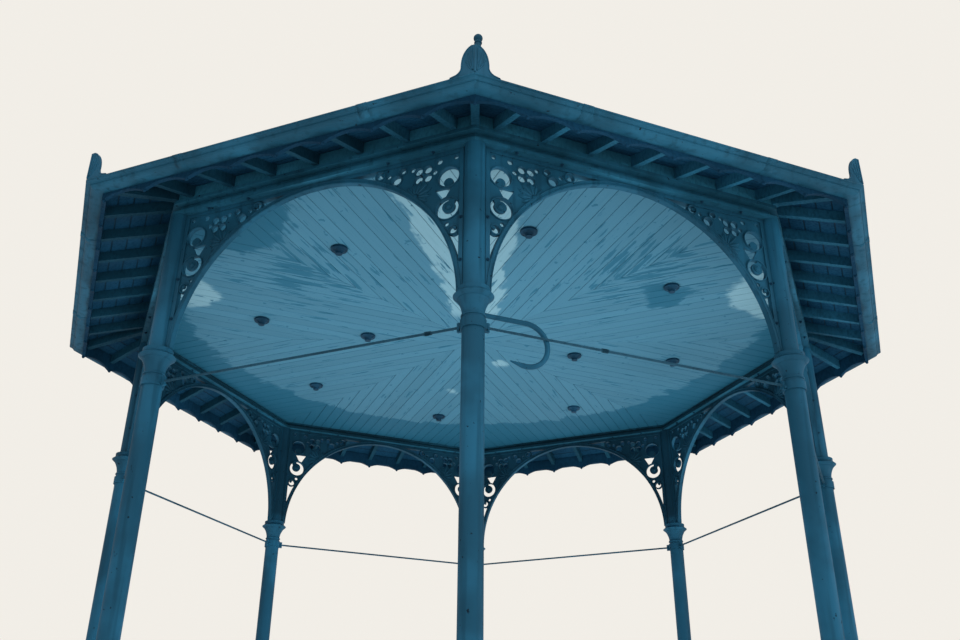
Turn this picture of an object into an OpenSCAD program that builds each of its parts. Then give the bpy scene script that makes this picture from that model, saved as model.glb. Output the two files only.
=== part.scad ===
// Victorian octagonal bandstand: eight slender cast columns on a low masonry base,
// a semicircular filigree arch in each bay, and a swept roof with wide scalloped eaves.
// Millimetres, Z up. Origin at the centre of the base, on the ground. A bay faces -Y.

/* [Plan] */
// Radius of the circle through the column centres
column_circle_r = 2750; // [2400:10:3300]

/* [Base] */
// Height of the masonry under the coping
plinth_h = 400; // [200:10:900]
// Thickness of the coping stones and of the floor slab between them
coping_t = 100; // [60:5:160]
// From the line of the columns out to the coping's edge
coping_reach = 330; // [280:10:420]
// How far the coping stands out over the masonry
coping_lip = 40; // [10:5:80]
// From the line of the columns in to the edge of the floor slab
coping_inset = 250; // [220:10:400]

/* [Columns] */
// Floor to the middle of the moulded ring
ring_above_floor = 3200; // [2650:10:3600]
// Diameter of the shaft
shaft_d = 124; // [100:2:150]
// Diameter of the moulded ring, over its sharp edge
ring_d = 226; // [210:2:260]
// Thickness of the moulded ring
ring_t = 40; // [24:2:60]
// How far the ring's edge stands out from the bell under it
ring_edge = 22; // [12:1:30]
// Height of the hollow bell under the ring
bell_h = 98; // [60:2:130]
// Height of the collar over the ring, which the arches stand on
collar_h = 25; // [15:1:40]
// Diameter of the pedestal at the foot of the shaft
pedestal_d = 180; // [150:5:200]
// Height of the pedestal above the foot drum
pedestal_h = 560; // [300:10:900]
// Side of the square foot plate
foot_w = 300; // [260:10:340]
// Thickness of the foot plate
foot_t = 30; // [15:5:50]

/* [Arches] */
// Height of the arch's centre above the middle of the ring
arch_rise_start = 25; // [0:5:60]
// Width of the upright bar against the shaft
stile_w = 27; // [18:1:36]
// From the stile's inner edge in to the rib's, at the springing
springing_step = 8; // [4:1:20]
// Depth of the curved rib, seen from the front
rib_w = 32; // [24:1:44]
// Depth of the rail under the girder
rail_h = 26; // [16:1:36]
// Thickness of the rib, the stile and the rail, front to back
rib_t = 35; // [28:1:44]

/* [Filigree] */
// Thickness of the pierced iron in the corners of an arch
scroll_t = 16; // [10:1:20]
// Thickness of the raised rims and leaves on it
relief_t = 26; // [22:1:34]
// Width of a raised rim
rim_w = 9; // [6:1:12]
// Diameter of the opening of the large scroll beside the stile
scroll_d = 142; // [110:2:150]
// Diameter of the eye in the large scroll
scroll_eye_d = 80; // [50:2:84]
// Diameter of the round opening in the top corner
corner_d = 134; // [110:2:140]
// Diameter of the round opening at each end of the filigree
end_d = 54; // [36:2:60]
// Diameter of each opening of the quatrefoil
foil_d = 52; // [40:2:56]
// Length of the palmette's leaves
palm_l = 128; // [90:2:140]
// Width of a palmette's leaf
palm_w = 36; // [24:1:44]

/* [Girders] */
// Height of a girder
girder_h = 108; // [90:2:180]
// Width of a girder's flanges
flange_w = 120; // [80:5:160]
// Thickness of a girder's flanges
flange_t = 24; // [12:1:36]
// Thickness of a girder's web
web_t = 24; // [12:1:40]

/* [Ceiling] */
// Thickness of the ceiling boards
ceiling_t = 20; // [12:1:30]
// Radius of the ring of ceiling fittings
fitting_circle_r = 1765; // [1200:5:2100]
// Radius at which the two inner fittings stand
inner_fitting_r = 900; // [700:5:1200]
// Diameter of a ceiling fitting
fitting_d = 118; // [80:2:160]

/* [Eaves] */
// From the line of the columns out to the gutter's lip
eaves_reach = 603; // [450:5:700]
// Slope of the rafters at the eaves, in degrees
eaves_slope = 20; // [14:1:26]
// Width of a rafter
rafter_w = 38; // [25:1:60]
// Depth of a rafter at the fascia
rafter_h = 74; // [50:1:110]
// Width of a hip rafter
hip_w = 50; // [40:1:70]
// Bays between the rafters on each side
rafter_bays = 8; // [5:1:10]
// Thickness of the fascia board
fascia_t = 25; // [15:1:40]
// How far the fascia's points reach under the foot of the rafters
point_drop = 52; // [30:1:90]
// Rise of each scallop between two points
scallop_rise = 33; // [15:1:45]

/* [Gutter] */
// Width of the gutter over its top
gutter_w = 110; // [90:2:140]
// Depth of the gutter
gutter_h = 77; // [60:1:100]
// Wall of the gutter
gutter_wall = 8; // [5:1:10]

/* [Roof] */
// Slope of the roof at its apex, in degrees
apex_slope = 44; // [34:1:50]
// Thickness of the roof's boards and metal
roof_t = 30; // [20:1:50]

/* [Finial] */
// Height of the finial from the roof's point to the middle of the ball
finial_h = 1530; // [900:10:1700]
// Diameter of the ball
ball_d = 92; // [60:2:140]
// Diameter of the neck under the ball
neck_d = 62; // [40:2:80]

/* [Antefixes] */
// Height of a corner leaf above the gutter
leaf_h = 200; // [140:5:260]
// Width of a corner leaf
leaf_w = 150; // [110:5:190]
// Width of a corner leaf's foot
leaf_foot_w = 240; // [200:5:280]
// Thickness of a corner leaf
leaf_t = 22; // [14:1:30]

/* [Wire] */
// Diameter of the taut wire
wire_d = 9; // [4:1:14]
// From the middle of the ring down to the wire
wire_drop = 170; // [130:5:300]
// Height of the band that holds the wire
clamp_h = 54; // [30:2:80]
// Thickness of the band
clamp_t = 9; // [5:1:12]
// From the middle of the shaft out to the end of the band's ears
ear_reach = 92; // [84:1:110]

/* [Hook] */
// Diameter of the curled hook on one column
hook_d = 30; // [20:1:36]
// From the middle of the shaft out to the middle of the hook's curl
hook_reach = 320; // [240:5:420]
// Radius of the curl
hook_curl_r = 130; // [90:5:150]
// From the wire up to the hook's arm
hook_rise = 85; // [70:1:100]

/* [Hidden] */
sides = 8;
turn = 360 / sides;
half_turn = turn / 2;
// Gap at seats and mitres
seat = 0.3;

function numbered(name) = [for (i = [1 : sides]) str(name, "_", i)];

// Distances out from the centre are taken square to a side
column_a = column_circle_r * cos(half_turn);
half_bay = column_circle_r * sin(half_turn);
coping_a = column_a + coping_reach;
floor_a = column_a - coping_inset;
floor_z = plinth_h + coping_t;
ring_z = floor_z + ring_above_floor;
shaft_r = shaft_d / 2;

stile_out = half_bay - shaft_r - seat;
stile_in = stile_out - stile_w;
arch_r = stile_in - springing_step;
rib_out = arch_r + rib_w;
arch_z = ring_z + arch_rise_start;
arch_foot_z = ring_z + ring_t / 2 + collar_h + seat;
girder_z = arch_z + rib_out;
rail_y = girder_z - arch_z - seat - rail_h;
girder_top_z = girder_z + girder_h;
ceiling_z = girder_top_z - flange_t - ceiling_t - seat;
ceiling_a = column_a - web_t / 2 - seat;

flange_out_a = column_a + flange_w / 2;
flange_in_a = column_a - flange_w / 2;
lip_a = column_a + eaves_reach;
fascia_out_a = lip_a - gutter_w;
fascia_in_a = fascia_out_a - fascia_t;
rafter_foot_z = girder_top_z - (fascia_in_a - flange_out_a) * tan(eaves_slope);
point_z = rafter_foot_z - point_drop;
rafter_gap = 2 * fascia_out_a * tan(half_turn) / rafter_bays;
gutter_z = point_z + 5;
gutter_top_z = gutter_z + gutter_h;

// The roof's underside is a hollow arc, steeper towards the apex
roof_r = fascia_in_a / (sin(apex_slope) - sin(eaves_slope));
roof_foot_z = rafter_foot_z + rafter_h;
roof_axis_a = fascia_in_a + roof_r * sin(eaves_slope);
roof_axis_z = roof_foot_z + roof_r * cos(eaves_slope);
roof_edge_a = fascia_out_a + 22;
function arc_z(a, r) = roof_axis_z - sqrt(pow(r, 2) - pow(a - roof_axis_a, 2));
function roof_under_z(a) = arc_z(a, roof_r);
function roof_top_z(a) = arc_z(a, roof_r - roof_t);
// The panels stop short of the centre, under the finial's foot
panel_tip_a = 60;
apex_z = roof_top_z(panel_tip_a);
wire_z = ring_z - wire_drop;
// The bell has begun to spread where the hook meets it
hook_seat = 6;

iron = "#28627f";
dark_iron = "#1c4c62";
timber = "#102f48";
board = "#488099";
stone = "#8a8f90";

// Turns a piece drawn on the front side, which faces -Y, to side i
module on_side(i) {
    rotate((i - 1) * turn) children();
}

// Turns a piece drawn at the front to the corner between side i and the next
module on_corner(i) {
    rotate((i - 0.5) * turn) children();
}

module octagon(a) {
    rotate(half_turn) circle(r = a / cos(half_turn), $fn = sides);
}

// A bar along the front side, mitred at both corners, between two distances out
module mitred_bar(in_a, out_a, z, h) {
    in_x = in_a * tan(half_turn) - seat;
    out_x = out_a * tan(half_turn) - seat;
    translate([0, 0, z])
        linear_extrude(h)
            polygon([[-out_x, -out_a], [out_x, -out_a], [in_x, -in_a], [-in_x, -in_a]]);
}

// Extrudes a section, drawn with distance out as x and height as y, along the front side
module along_side(length) {
    rotate([90, 0, -90])
        translate([0, 0, -length / 2])
            linear_extrude(length) children();
}

module plinth() {
    color(stone)
        linear_extrude(plinth_h) octagon(coping_a - coping_lip);
}

module coping() {
    color(stone)
        translate([0, 0, plinth_h])
            linear_extrude(coping_t)
                difference() {
                    octagon(coping_a);
                    octagon(floor_a);
                }
}

module floor_slab() {
    color(stone)
        translate([0, 0, plinth_h])
            linear_extrude(coping_t) octagon(floor_a - seat);
}

// A square in a turned profile, from the axis out to r
module drum_profile(r, z, h) {
    translate([0, z]) square([r, h]);
}

// A bead of half-round section at the radius r of a turned profile
module bead_profile(r, z, bead_r) {
    translate([r, z]) circle(r = bead_r, $fn = 32);
}

// A turned profile that sweeps out in a hollow curve, from narrow_r at z to wide_r at z + h.
// The curve starts just inside the narrow piece, so that it leaves its surface at an angle,
// and its wide end is blunt.
module bell_profile(narrow_r, wide_r, z, h) {
    start_r = narrow_r - 1;
    blunt = 2;
    spread = wide_r - start_r;
    sweep_r = (pow(spread, 2) + pow(h, 2)) / (2 * spread);
    difference() {
        drum_profile(wide_r - blunt, z, h);
        translate([start_r + sweep_r, z]) circle(r = sweep_r, $fn = 128);
    }
}

module foot_profile() {
    drum_r = pedestal_d / 2 + 30;
    drum_h = 60;
    bead_r = 17;
    hollow_h = 34;
    shoulder_h = 120;
    pedestal_r = pedestal_d / 2;
    hollow_z = foot_t + drum_h;
    shoulder_z = hollow_z + pedestal_h;
    drum_profile(drum_r, foot_t - seat, drum_h + seat);
    mirror([0, 1]) bell_profile(pedestal_r, drum_r - 8, -hollow_z - hollow_h, hollow_h);
    drum_profile(pedestal_r, hollow_z, pedestal_h);
    bead_profile(pedestal_r - 4, hollow_z + hollow_h + bead_r, bead_r);
    bead_profile(pedestal_r - 4, shoulder_z - bead_r, bead_r);
    mirror([0, 1]) bell_profile(shaft_r, pedestal_r, -shoulder_z - shoulder_h, shoulder_h);
}

// The ring and what is under and over it, with its own middle at height 0
module ring_profile() {
    collar_r = shaft_r + stile_w + 3;
    bell_r = ring_d / 2 - ring_edge;
    half_t = ring_t / 2;
    bead_r = 7;
    bell_profile(shaft_r, bell_r, -half_t - bell_h, bell_h);
    bead_profile(shaft_r, -half_t - bell_h, bead_r);
    polygon([[0, -half_t], [bell_r, -half_t], [ring_d / 2, 0], [bell_r, half_t], [0, half_t]]);
    polygon([[0, half_t], [bell_r, half_t], [collar_r, half_t + collar_h], [0, half_t + collar_h]]);
}

module column(i) {
    color(iron)
        on_corner(i)
            translate([0, -column_circle_r, 0]) {
                translate([-foot_w / 2, -foot_w / 2, floor_z]) cube([foot_w, foot_w, foot_t]);
                translate([0, 0, floor_z]) rotate_extrude($fn = 96) foot_profile();
                translate([0, 0, floor_z + foot_t])
                    cylinder(d = shaft_d, h = girder_z - floor_z - foot_t, $fn = 96);
                translate([0, 0, ring_z]) rotate_extrude($fn = 96) ring_profile();
            }
}

// The outline of one bay's arch frame: x along the bay, y up from the arch's centre
module arch_frame() {
    foot_y = arch_foot_z - arch_z;
    top_y = girder_z - arch_z - seat;
    intersection() {
        difference() {
            circle(r = rib_out, $fn = 128);
            circle(r = arch_r, $fn = 128);
        }
        translate([-stile_out, foot_y]) square([2 * stile_out, top_y - foot_y]);
    }
    for (s = [-1, 1])
        translate([s * (stile_out - stile_w / 2) - stile_w / 2, foot_y])
            square([stile_w, top_y - foot_y]);
    translate([-stile_out, top_y - rail_h]) square([2 * stile_out, rail_h]);
}

// Centres of circles that touch the rib and the stile, the rib and the rail, or the rib alone
function beside_stile(r) = [stile_in - r, sqrt(pow(rib_out + r, 2) - pow(stile_in - r, 2))];
function under_rail(r) = [sqrt(pow(rib_out + r, 2) - pow(rail_y - r, 2)), rail_y - r];
function over_rib(angle, r) = (rib_out + r) * [cos(angle), sin(angle)];

end_r = end_d / 2;
scroll_r = scroll_d / 2;
corner_r = corner_d / 2;
foil_r = foil_d / 2;
small_r = 14;
eyelet_r = 20;
low_end = beside_stile(end_r + rim_w);
high_end = under_rail(end_r + rim_w);
scroll_at = beside_stile(scroll_r + rim_w / 2);
corner_at = [stile_in - corner_r - rim_w / 2, rail_y - corner_r - 90];
drop_at = over_rib(atan2(low_end[1] + scroll_at[1], low_end[0] + scroll_at[0]) - 0.8, small_r + 4);
rib_ring_at = over_rib(57.5, end_r + rim_w);
eyelet_at = rib_ring_at + [40, 56];
quatrefoil_at = corner_at + [-166, 58];
palm_at = over_rib(46.5, -6);

module corner_disc(at, r) {
    translate(at) circle(r = r, $fn = 48);
}

// A round opening with a solid eye that hangs from its rim on the side that faces the angle
module scroll_opening(at, r, eye_r, off, angle) {
    translate(at)
        difference() {
            circle(r = r, $fn = 64);
            rotate(angle) {
                translate([off, 0]) circle(r = eye_r, $fn = 48);
                translate([off, -eye_r / 2]) square([r, eye_r]);
            }
        }
}

module quatrefoil(at, r, out) {
    translate(at)
        for (k = [0 : 3])
            rotate(45 + 90 * k) translate([out, 0]) circle(r = r, $fn = 32);
}

// A pointed leaf between two arcs, from the origin along x
module leaf(length, width) {
    side_r = (pow(length, 2) + pow(width, 2)) / (4 * width);
    intersection() {
        translate([length / 2, side_r - width / 2]) circle(r = side_r, $fn = 64);
        translate([length / 2, width / 2 - side_r]) circle(r = side_r, $fn = 64);
    }
}

// A fan of leaves round the y axis, the outer ones shorter
module palmette(leaves, length, width, spread) {
    half = (leaves - 1) / 2;
    for (k = [-half : half])
        rotate(90 + k * spread) leaf(length * (1 - 0.09 * abs(k)), width);
    circle(r = width * 0.6, $fn = 32);
}

// The web between the rib, the stile and the rail, and what is cut through it
module corner_web() {
    bite = 2;
    difference() {
        union() {
            difference() {
                translate([high_end[0], low_end[1]])
                    square([stile_in + bite - high_end[0], rail_y + bite - low_end[1]]);
                circle(r = rib_out - bite, $fn = 128);
            }
            corner_disc(low_end, end_r + rim_w + bite);
            corner_disc(high_end, end_r + rim_w + bite);
        }
        scroll_opening(low_end, end_r, end_r * 0.45, end_r * 0.62, 60);
        corner_disc(drop_at, small_r);
        scroll_opening(scroll_at, scroll_r, scroll_eye_d / 2, scroll_r * 0.18, 62);
        scroll_opening(corner_at, corner_r, corner_r * 0.44, corner_r * 0.55, -92);
        difference() {
            translate((scroll_at + corner_at) / 2 + [-32, 4]) rotate(30) circle(r = 60, $fn = 3);
            corner_disc(scroll_at, scroll_r + rim_w + 2);
            corner_disc(corner_at, corner_r + rim_w + 2);
        }
        corner_disc([stile_in - 26, rail_y - 26], small_r);
        corner_disc(corner_at + [-62, corner_r + 58], small_r + 4);
        corner_disc(corner_at + [-92, 58], small_r + 2);
        corner_disc(eyelet_at + [66, -4], small_r + 2);
        quatrefoil(quatrefoil_at, foil_r, foil_r * 1.62);
        corner_disc(eyelet_at, eyelet_r);
        corner_disc(rib_ring_at, end_r + 4);
        scroll_opening(high_end, end_r, end_r * 0.45, end_r * 0.62, 30);
        corner_disc((rib_ring_at + high_end) / 2 + [2, 12], small_r);
    }
}

module rim(at, r) {
    difference() {
        corner_disc(at, r + rim_w);
        corner_disc(at, r);
    }
}

// What stands out from the web on both faces: rims, bosses and the palmette
module corner_relief() {
    intersection() {
        union() {
            rim(low_end, end_r);
            rim(scroll_at, scroll_r);
            rim(corner_at, corner_r);
            rim(eyelet_at, eyelet_r);
            rim(rib_ring_at, end_r + 4);
            rim(high_end, end_r);
            corner_disc(quatrefoil_at, foil_r * 0.62);
            corner_disc(scroll_at + scroll_r * 0.18 * [cos(62), sin(62)], scroll_eye_d * 0.3);
            translate(palm_at) rotate(-43.5) palmette(7, palm_l, palm_w, 25);
        }
        square([stile_in + 1, rail_y + 1]);
    }
}

module arch(i) {
    color(iron)
        on_side(i)
            translate([0, -column_a, arch_z])
                rotate([90, 0, 0]) {
                    translate([0, 0, -rib_t / 2]) linear_extrude(rib_t) arch_frame();
                    for (s = [0, 1])
                        mirror([s, 0, 0]) {
                            translate([0, 0, -scroll_t / 2]) linear_extrude(scroll_t) corner_web();
                            translate([0, 0, -relief_t / 2])
                                linear_extrude(relief_t) corner_relief();
                        }
                }
}

module girder(i) {
    color(dark_iron)
        on_side(i) {
            mitred_bar(flange_in_a, flange_out_a, girder_z, flange_t);
            mitred_bar(column_a - web_t / 2, column_a + web_t / 2, girder_z, girder_h);
            mitred_bar(flange_in_a, flange_out_a, girder_top_z - flange_t, flange_t);
        }
}

module ceiling() {
    color(board)
        translate([0, 0, ceiling_z])
            linear_extrude(ceiling_t) octagon(ceiling_a);
}

// A fitting turned in one piece: a rim against the boards, a hollow curve and a button
module ceiling_fitting() {
    rim_h = 14;
    dome_h = 30;
    fitting_r = fitting_d / 2;
    button_r = fitting_r * 0.42;
    rotate_extrude($fn = 64)
        mirror([0, 1]) {
            drum_profile(fitting_r, seat, rim_h);
            mirror([0, 1]) bell_profile(button_r, fitting_r - 6, -rim_h - dome_h, dome_h);
            drum_profile(button_r, rim_h, dome_h + 4);
        }
}

module ceiling_fittings() {
    off_corner = 12;
    inner_turns = [-62, 130];
    color(timber)
        translate([0, 0, ceiling_z]) {
            for (i = [1 : sides])
                on_corner(i)
                    rotate(off_corner) translate([0, -fitting_circle_r, 0]) ceiling_fitting();
            for (inner_turn = inner_turns)
                rotate(inner_turn) translate([0, -inner_fitting_r, 0]) ceiling_fitting();
        }
}

module rafter_profile() {
    foot_a = fascia_in_a - seat;
    high_z = roof_under_z(flange_in_a) + 100;
    foot_z = girder_top_z + seat - (foot_a - flange_out_a) * tan(eaves_slope);
    difference() {
        polygon([[foot_a, foot_z], [foot_a, high_z], [flange_in_a, high_z],
            [flange_in_a, girder_top_z + seat], [flange_out_a, girder_top_z + seat]]);
        translate([roof_axis_a, roof_axis_z]) circle(r = roof_r + seat, $fn = 720);
    }
}

module rafters() {
    first = -(rafter_bays / 2 - 1);
    color(dark_iron)
        for (i = [1 : sides])
            on_side(i)
                for (k = [first : -first])
                    translate([k * rafter_gap, 0, 0])
                        along_side(rafter_w) rafter_profile();
}

module hip_rafters() {
    edge_a = hip_w / 2 * sin(half_turn);
    out_r = (fascia_in_a - seat) / cos(half_turn) - hip_w / 2 * tan(half_turn);
    in_r = 90;
    steps = 12;
    hip_h = 110;
    top_gap = 2;
    bear_r = (flange_out_a + edge_a) / cos(half_turn);
    function top_at(r) = roof_under_z(r * cos(half_turn) + edge_a) - top_gap;
    radii = [for (k = [0 : steps]) out_r + (in_r - out_r) * k / steps];
    tops = [for (r = radii) [r, top_at(r)]];
    bear_in_r = (flange_in_a - edge_a) / cos(half_turn);
    low_radii = [for (k = [0 : steps]) in_r + (bear_in_r - in_r) * k / steps];
    lows = [for (r = low_radii) [r, top_at(r) - hip_h]];
    color(dark_iron)
        for (i = [1 : sides])
            on_corner(i)
                along_side(hip_w)
                    polygon(concat(tops, lows, [
                        [bear_in_r, girder_top_z + seat],
                        [bear_r, girder_top_z + seat],
                        [out_r, rafter_foot_z + 4]]));
}

// The fascia's front: a board whose foot is cut in arcs between points
module fascia_outline() {
    top_z = roof_foot_z - (fascia_out_a - fascia_in_a) * tan(eaves_slope) - 2;
    length = 2 * fascia_out_a * tan(half_turn);
    chord = rafter_gap - 12;
    arc_r = (pow(chord / 2, 2) + pow(scallop_rise, 2)) / (2 * scallop_rise);
    difference() {
        translate([-length / 2, point_z]) square([length, top_z - point_z]);
        for (k = [0 : rafter_bays - 1])
            translate([(k + 0.5) * rafter_gap - length / 2, point_z + scallop_rise - arc_r])
                circle(r = arc_r, $fn = 128);
    }
}

module fascia() {
    color(dark_iron)
        for (i = [1 : sides])
            on_side(i)
                intersection() {
                    mitred_bar(fascia_in_a, fascia_out_a, 0, apex_z);
                    translate([0, -fascia_in_a + 1, 0])
                        rotate([90, 0, 0]) linear_extrude(fascia_t + 2) fascia_outline();
                }
}

// An ogee: a round bow below, a fillet, and a hollow that sweeps out to the bead at the lip
module gutter_section() {
    back_a = fascia_out_a + seat;
    bead_r = 8;
    hollow_r = 24;
    bow_r = gutter_h - hollow_r - 2 * bead_r;
    bow_a = lip_a - bead_r - hollow_r - bow_r;
    fillet_z = gutter_z + bow_r;
    lip_z = gutter_top_z - 2 * bead_r;
    inside_a = back_a + gutter_wall;
    difference() {
        union() {
            translate([back_a, gutter_z]) square([bow_a - back_a, gutter_h]);
            intersection() {
                translate([bow_a, fillet_z]) circle(r = bow_r, $fn = 64);
                translate([bow_a - 1, gutter_z]) square([bow_r + 1, bow_r]);
            }
            translate([bow_a - 1, fillet_z]) square([bow_r + 5, lip_z - fillet_z]);
            difference() {
                translate([bow_a + bow_r, fillet_z]) square([hollow_r + bead_r / 2, hollow_r]);
                translate([bow_a + bow_r + hollow_r + bead_r / 2, fillet_z])
                    circle(r = hollow_r - 1, $fn = 48);
            }
        }
        translate([bow_a, fillet_z]) circle(r = bow_r - gutter_wall, $fn = 64);
        translate([inside_a, fillet_z])
            square([bow_a + bow_r - gutter_wall - inside_a, gutter_h]);
        translate([inside_a, gutter_z + gutter_wall]) square([bow_a - inside_a, gutter_h]);
    }
    translate([bow_a + bow_r - gutter_wall, lip_z])
        square([lip_a - bead_r - bow_a - bow_r + gutter_wall, gutter_wall]);
    translate([lip_a - bead_r, gutter_top_z - bead_r]) circle(r = bead_r, $fn = 32);
}

module gutter() {
    length = 2 * lip_a * tan(half_turn) + 10;
    color(iron)
        for (i = [1 : sides])
            on_side(i)
                intersection() {
                    mitred_bar(fascia_out_a, lip_a + 1, gutter_z - 10, gutter_h + 20);
                    along_side(length) gutter_section();
                }
}

module roof_panel(i) {
    color(dark_iron)
        on_side(i)
            intersection() {
                mitred_bar(panel_tip_a, roof_edge_a, 0, apex_z + 1);
                along_side(2 * roof_edge_a)
                    difference() {
                        translate([roof_axis_a, roof_axis_z]) circle(r = roof_r, $fn = 720);
                        translate([roof_axis_a, roof_axis_z]) circle(r = roof_r - roof_t, $fn = 720);
                    }
            }
}

// Two circles and the straight sides that touch both, the larger one below
module egg(low_r, high_r, rise) {
    lean = asin((low_r - high_r) / rise);
    side = [cos(lean), sin(lean)];
    circle(r = low_r, $fn = 64);
    translate([0, rise]) circle(r = high_r, $fn = 48);
    polygon([low_r * side, [0, rise] + high_r * side,
        [-high_r * side[0], rise + high_r * side[1]], [-low_r * side[0], low_r * side[1]]]);
}

module antefix_outline() {
    plate_h = 14;
    hollow_r = 22;
    tip_r = leaf_w * 0.24;
    belly_z = 52;
    intersection() {
        translate([0, belly_z]) egg(leaf_w / 2, tip_r, leaf_h - tip_r - belly_z);
        translate([-leaf_w, 0]) square([2 * leaf_w, leaf_h]);
    }
    translate([-leaf_foot_w / 2, 0]) square([leaf_foot_w, plate_h]);
    difference() {
        translate([-leaf_w / 2 - hollow_r, 0])
            square([leaf_w + 2 * hollow_r, plate_h + hollow_r]);
        for (s = [-1, 1])
            translate([s * (leaf_w / 2 + hollow_r), plate_h + hollow_r])
                circle(r = hollow_r, $fn = 48);
    }
}

module antefixes() {
    relief = 5;
    palm_foot = 30;
    palm_rise = leaf_h - 72;
    leaf_spread = 15;
    lip_inset = 30;
    color(iron)
        for (i = [1 : sides])
            on_corner(i)
                translate([0, -(lip_a - lip_inset) / cos(half_turn), gutter_top_z + seat])
                    rotate([90, 0, 0]) {
                        linear_extrude(leaf_t) antefix_outline();
                        translate([0, palm_foot, leaf_t / 2])
                            linear_extrude(leaf_t / 2 + relief)
                                palmette(5, palm_rise, palm_foot, leaf_spread);
                    }
}

// Turned in one piece, from the apron over the roof's point to the ball
module finial_profile() {
    apron_r = 150;
    apron_h = 30;
    bell_top_h = 210;
    waist_r = 52;
    bulb_r = 118;
    bulb_z = bell_top_h + 120;
    stem_r = 46;
    stem_z = bulb_z + bulb_r - 12;
    stem_h = 260;
    bead_r = 16;
    skirt_r = 180;
    skirt_t = 16;
    skirt_y = roof_top_z(skirt_r * cos(half_turn)) - apex_z;
    tip_r = panel_tip_a / cos(half_turn);
    polygon([[0, 0], [tip_r, 0], [skirt_r, skirt_y], [skirt_r, skirt_y + skirt_t],
        [apron_r, apron_h], [0, apron_h]]);
    mirror([0, 1]) bell_profile(waist_r, apron_r - 14, -bell_top_h, bell_top_h - apron_h);
    bead_profile(waist_r, bell_top_h, bead_r);
    drum_profile(waist_r - 8, 0, bulb_z);
    intersection() {
        translate([0, bulb_z]) circle(r = bulb_r, $fn = 96);
        drum_profile(bulb_r + 1, 0, bulb_z + bulb_r);
    }
    bead_profile(stem_r, stem_z + bead_r, bead_r);
    mirror([0, 1]) bell_profile(neck_d / 2, stem_r, -stem_z - stem_h, stem_h);
    drum_profile(neck_d / 2, bulb_z, finial_h - bulb_z);
    bead_profile(neck_d / 2, finial_h - ball_d / 2 - 14, 9);
    intersection() {
        translate([0, finial_h]) circle(d = ball_d, $fn = 64);
        drum_profile(ball_d, finial_h - ball_d, 2 * ball_d);
    }
}

module finial() {
    color(iron)
        translate([0, 0, apex_z + seat]) rotate_extrude($fn = 96) finial_profile();
}

module taut_wire() {
    reach = half_bay - ear_reach - seat;
    color(dark_iron)
        for (i = [1 : sides])
            on_side(i)
                translate([-reach, -column_a, wire_z])
                    rotate([0, 90, 0]) cylinder(d = wire_d, h = 2 * reach, $fn = 24);
}

// A band of two halves, with an ear to each side in line with the wire it holds
module wire_clamp() {
    bore_r = shaft_r + seat;
    ear_t = 16;
    bolt_d = 14;
    bolt_l = 44;
    bolt_out = 9;
    linear_extrude(clamp_h)
        difference() {
            union() {
                circle(r = bore_r + clamp_t, $fn = 64);
                for (s = [-1, 1])
                    rotate(s * (half_turn - 90))
                        translate([-ear_t / 2, 0]) square([ear_t, ear_reach]);
            }
            circle(r = bore_r, $fn = 64);
        }
    for (s = [-1, 1])
        rotate(s * (half_turn - 90))
            translate([-bolt_l / 2, bore_r + clamp_t + bolt_out, clamp_h / 4])
                rotate([0, 90, 0]) cylinder(d = bolt_d, h = bolt_l, $fn = 24);
}

// A round bar that leaves the shaft level, curls down and back, and ends in a point
module hook() {
    tip_l = 70;
    tip_d = 8;
    over_turn = 12;
    weld = 4;
    off_wire = (hook_d + wire_d) / 2 + 1;
    translate([0, off_wire, 0])
        rotate([90, 0, 0]) {
            translate([0, hook_rise, 0])
                rotate([0, 90, 0]) cylinder(d = hook_d - 2, h = hook_reach + weld, $fn = 48);
            translate([hook_reach, hook_rise - hook_curl_r, 0]) {
                rotate(-90 - over_turn)
                    rotate_extrude(angle = 180 + over_turn, $fn = 96)
                        translate([hook_curl_r, 0]) circle(d = hook_d, $fn = 48);
                rotate(-90 - over_turn)
                    translate([hook_curl_r, weld, 0])
                        rotate([90, 0, 0])
                            cylinder(d1 = hook_d - 1, d2 = tip_d, h = tip_l + weld, $fn = 48);
            }
        }
}

module wire_clamps() {
    hook_corner = 1;
    color(iron)
        for (i = [1 : sides])
            on_corner(i)
                translate([0, -column_circle_r, wire_z]) {
                    translate([0, 0, -clamp_h / 2]) wire_clamp();
                    if (i == hook_corner)
                        difference() {
                            rotate(half_turn) hook();
                            translate([0, 0, clamp_h / 2])
                                cylinder(r = shaft_r + hook_seat, h = 2 * hook_rise, $fn = 96);
                        }
                }
}

plinth();
coping();
floor_slab();
for (i = [1 : sides]) {
    column(i);
    arch(i);
    girder(i);
    roof_panel(i);
}
ceiling();
ceiling_fittings();
rafters();
hip_rafters();
fascia();
gutter();
antefixes();
finial();
taut_wire();
wire_clamps();
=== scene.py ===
# %% [markdown]
# An octagonal bandstand: cast iron columns on a low stone base, filigree arches, a boarded
# ceiling and a swept roof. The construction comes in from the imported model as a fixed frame,
# and this lesson adds what the eye looks for: stones, boards, rolls on the roof, and paint.

# %% Load the frame
import math
import random

import bmesh
import bpy
from mathutils import Matrix, Vector, noise


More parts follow.
